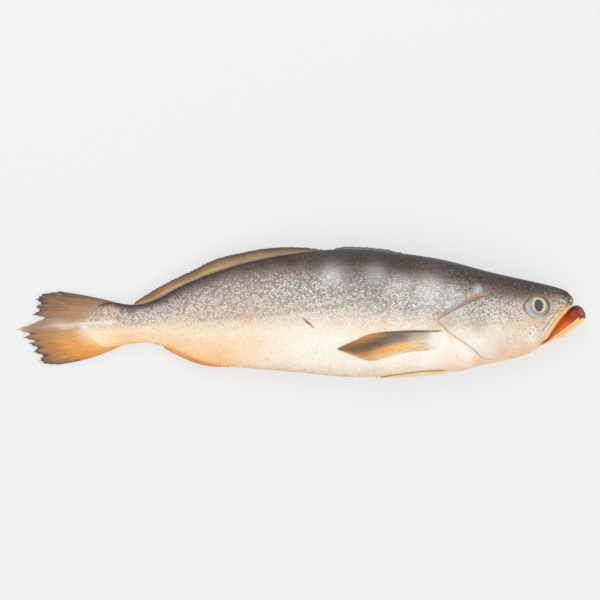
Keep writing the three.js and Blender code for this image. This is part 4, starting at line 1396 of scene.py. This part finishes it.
def makeMouthFlesh():
    form = fleshForm
    x = np.linspace(form["from"], form["to"], form["rings"])[:, None]
    front = np.clip((x - form["to"] + form["frontRound"]) / form["frontRound"], 0, 1)
    rear = np.clip((form["from"] + form["rearRound"] - x) / form["rearRound"], 0, 1)
    close = np.sqrt(np.clip(1 - front**2, 0.002, 1)) * np.sqrt(np.clip(1 - rear**2, 0.002, 1))
    half = (jawHalf(x) - jawForm["wall"] + form["overlap"]) * close
    turn = np.arange(form["round"])[None, :] / form["round"] * 2 * math.pi
    c, s = np.cos(turn), np.sin(turn)
    aside = np.sign(s) * np.abs(s) ** 0.8 + 0 * x
    wide = np.broadcast_to(x, aside.shape)
    low = jawChin(x) + form["floor"]
    # the floor climbs from the near lip to the far one, and faces the open side
    climb = smooth(0.8, -0.3, aside)
    near, far = nearLip(x) - 1.5 * smooth(190, 196, x), farLip(x) - 0.7 - 1.6 * smooth(213, 218, x)
    top = near + (far - near) * climb
    mid = (top + low) / 2
    crease = sum(strength * bell(aside - at, width) for at, width, strength in form["creases"])
    fold = ripple(wide, aside * 9, 7, 21)
    y = mid + (top - mid) * np.sign(c) * np.abs(c) ** 0.5 * (0.3 + 0.7 * close)
    y = y - (form["creaseDepth"] * crease - form["foldHeight"] * fold) * close * smooth(0, 0.4, c)
    # it stays inside the jaw's skin
    out = np.arcsin(np.clip(half * np.abs(aside) / jawHalf(x), 0, 1) ** (1 / 0.75))
    y = np.maximum(y, jawUnder(jawLip(x, aside), jawChin(x), out) + form["underSkin"])
    rings = np.stack([wide, y, middleOf(x) + half * aside], -1)
    values = {"front": smooth(196, 216, wide), "groove": np.clip(crease, 0, 1) * smooth(194, 200, x),
              "near": smooth(0.1, 0.8, aside)}
    piece = lofted("mouthFlesh", rings, values)
    piece.data.materials.append(mouthSkin)
    return piece


def makeMouthSkin():
    made, tree = material("mouthFlesh")
    at = tree.objectAt()
    patch = tree.noise(at, 170.0, 4.0)
    front = tree.attribute("front") - tree.attribute("near") * 0.2 + (patch - 0.5) * 0.5
    colour = tree.ramp(front, [(0.0, (255, 196, 60)), (0.3, (255, 150, 28)), (0.66, (240, 104, 22)),
                               (0.88, (200, 62, 18)), (1, (130, 40, 18))])
    # painted shade: darker red in the creases of the flesh
    colour = tree.mix(tree.attribute("groove") * 0.55, colour, (170, 44, 12))
    colour = tree.mix((patch - 0.1).between(0.45, 0.62) * 0.4, colour, (240, 140, 70))
    # a faint glow in the flesh's own colour: painted light that lifts the shade inside the mouth
    tree.finish({"Base Color": colour, "Roughness": 0.16 + 0.2 * patch, "Coat Weight": 0.35,
                 "Coat Roughness": 0.12,
                 "Specular IOR Level": 0.3, "Emission Color": colour, "Emission Strength": 0.1,
                 "Normal": tree.bump(tree.noise(at, 700.0, 3.0), 0.5, 0.0008)})
    return made


mouthSkin = makeMouthSkin()
mouthFlesh = makeMouthFlesh()
standFor(mouthFlesh, "mouth_floor")
print("mouth")


def eyeFrame(side):
    # the eye's middle on the skin, with its ways forward, up and out
    x, y = eyeForm["at"]
    turn = turnAt(x, y, side)
    centre, out = skin(x, turn), normalAt(x, turn)
    forward = np.array([1.0, 0, 0])
    forward -= out * forward.dot(out)
    forward /= np.linalg.norm(forward)
    upward = np.cross(out, forward)
    upward *= np.sign(upward[1])
    return centre, forward, upward, out


eyeGrid = {"rings": 60, "round": 72, "underside": [(0.1, 0.9), (0, 2.2), (-2.8, 5.4), (-6.8, 6.6)],
           "depth": 7.0}


def makeEye(name, side):
    # a form turned round the eye's axis, from its top in the middle to its underside
    form = eyeForm
    centre, forward, upward, out = eyeFrame(side)
    rim, count = form["across"], eyeGrid["round"]
    under = [(rim + off, down) for off, down in eyeGrid["underside"]] + [(0.05, eyeGrid["depth"])]
    r = np.concatenate([np.linspace(0.05, rim, eyeGrid["rings"]), [place for place, _ in under]])[:, None]
    low = np.concatenate([np.zeros(eyeGrid["rings"]), [down for _, down in under]])[:, None]
    turn = np.arange(count)[None, :] / count * 2 * math.pi
    wide, high = form["opening"]
    a, b = r * np.cos(turn), r * np.sin(turn) * (high / wide + 0.06)
    iris = np.hypot(a - form["irisAt"][0], b - form["irisAt"][1])
    pupil = np.hypot((a - form["irisAt"][0] + 0.3) / form["pupil"][0],
                     (b - form["irisAt"][1] + 0.2) / form["pupil"][1])
    height = form["bulge"] * (1 - (r / rim) ** 2) - 1.5 * (r / rim) ** 4
    height = height + 0.3 * bell(iris - form["iris"] + 0.5, 0.9) - 0.45 * smooth(1.05, 0.85, pupil) - low
    points = centre + a[..., None] * forward + b[..., None] * upward + height[..., None] * out
    values = {"pupil": pupil, "iris": iris, "reach": np.hypot(a, b / 0.92), "sideways": a, "upward": b}
    piece = lofted(name, points, values)
    onFloor(piece)
    piece.data.materials.append(eyeSkin)
    return piece


def makeEyeSkin():
    made, tree = material("fishEye")
    at = tree.objectAt()
    fine = tree.noise(at, 900.0, 3.0)
    soft = tree.noise(at, 240.0, 3.0)
    iris = tree.attribute("iris") + (soft - 0.5) * 0.8
    reach = tree.attribute("reach") + (soft - 0.5) * 0.7
    # a pale crescent at the lower left of the cornea is a painted highlight, and the darker ring round the rest
    # of it is painted shade
    litLowerLeft = (0 - tree.attribute("sideways") * 0.7 - tree.attribute("upward")).between(-1.0, 7.0)
    ring = tree.ramp(iris / 12.0, [(0.3, (190, 182, 146)), (0.38, (226, 216, 176)), (0.46, (216, 206, 166)),
                                   (0.52, (160, 152, 130)), (0.64, (140, 136, 122)), (0.76, (128, 122, 108)),
                                   (0.92, (120, 110, 96))])
    pale = tree.mix(fine, (176, 186, 188), (208, 214, 213))
    ring = tree.mix(litLowerLeft * reach.between(5.6, 7.8) * (1 - reach.between(8.9, 10.8)) * 0.78, ring, pale)
    ring = tree.mix(reach.between(8.3, 9.7) * (1 - litLowerLeft) * 0.7, ring, (104, 94, 82))
    ring = tree.mix(reach.between(9.8, 11.2), ring, (112, 100, 88))
    pupil = tree.attribute("pupil")
    colour = tree.mix(1 - pupil.between(0.9, 1.08), ring, tree.mix(fine, (50, 53, 58), (74, 78, 84)))
    dark = pupil.between(0.92, 1.04) * (1 - pupil.between(1.08, 1.2))
    colour = tree.mix(dark * 0.35, colour, (120, 112, 88))
    tree.finish({"Base Color": colour, "Roughness": 0.2 + 0.2 * soft, "Coat Weight": 0.5,
                 "Coat Roughness": 0.05,
                 "Normal": tree.bump(fine, 0.12, 0.0003)})
    return made


eyeSkin = makeEyeSkin()
for side, name, node in ((1, "rightEye", "right_eye"), (-1, "leftEye", "left_eye")):
    standFor(makeEye(name, side), node)
print("eyes")


stageLook = {
    "floor": (152, 152, 152), "glow": 0.56, "drop": 0.0004, "reach": 6, "sky": 0.85,
    # place, power and size of each lamp, in metres
    "lamps": {"key": ((-0.25, 0.75, 1.3), 5.2, 1.1), "fill": ((0.5, -0.8, 1.2), 2.0, 1.4)},
    "cameraHeight": 1.7, "focusHeight": 0.025, "across": 0.4696, "aim": (0.0012, 0.0100),
}


def makeStage():
    look, reach = stageLook, stageLook["reach"]
    corners = np.array([(-reach, -reach, 0), (reach, -reach, 0), (reach, reach, 0), (-reach, reach, 0)])
    floor = meshFrom("floor", corners / mm, [(0, 1, 2, 3)])
    made, tree = material("paleFloor")
    tree.finish({"Base Color": rgb(*look["floor"]), "Roughness": 0.9, "Specular IOR Level": 0.1,
                 "Emission Color": (1, 1, 1, 1), "Emission Strength": look["glow"]})
    floor.data.materials.append(made)
    floor.location.z = -look["drop"]
    world = bpy.data.worlds.new("studio")
    world.use_nodes = True
    scene.world = world
    sky = world.node_tree.nodes["Background"].inputs
    sky["Color"].default_value, sky["Strength"].default_value = (1, 1, 1, 1), look["sky"]
    for name, (place, power, size) in look["lamps"].items():
        lamp = bpy.data.lights.new(name, "AREA")
        lamp.energy, lamp.size = power, size
        holder = bpy.data.objects.new(name, lamp)
        holder.location = place
        holder.rotation_euler = Vector([-c for c in place]).to_track_quat("-Z", "Y").to_euler()
        scene.collection.objects.link(holder)
    camera = bpy.data.cameras.new("camera")
    holder = bpy.data.objects.new("camera", camera)
    scene.collection.objects.link(holder)
    # straight above the middle of the fish, a little ahead and towards its back
    low, high = cadBox
    middle = [(a + b) / 2 + off for a, b, off in zip(low, high, look["aim"])]
    holder.location = (*middle, look["cameraHeight"])
    camera.lens = camera.sensor_width * (look["cameraHeight"] - look["focusHeight"]) / look["across"]
    camera.clip_end = 20
    scene.camera = holder
    scene.view_settings.view_transform = "Standard"
    scene.view_settings.look = "None"


makeStage()
print("stage ready")
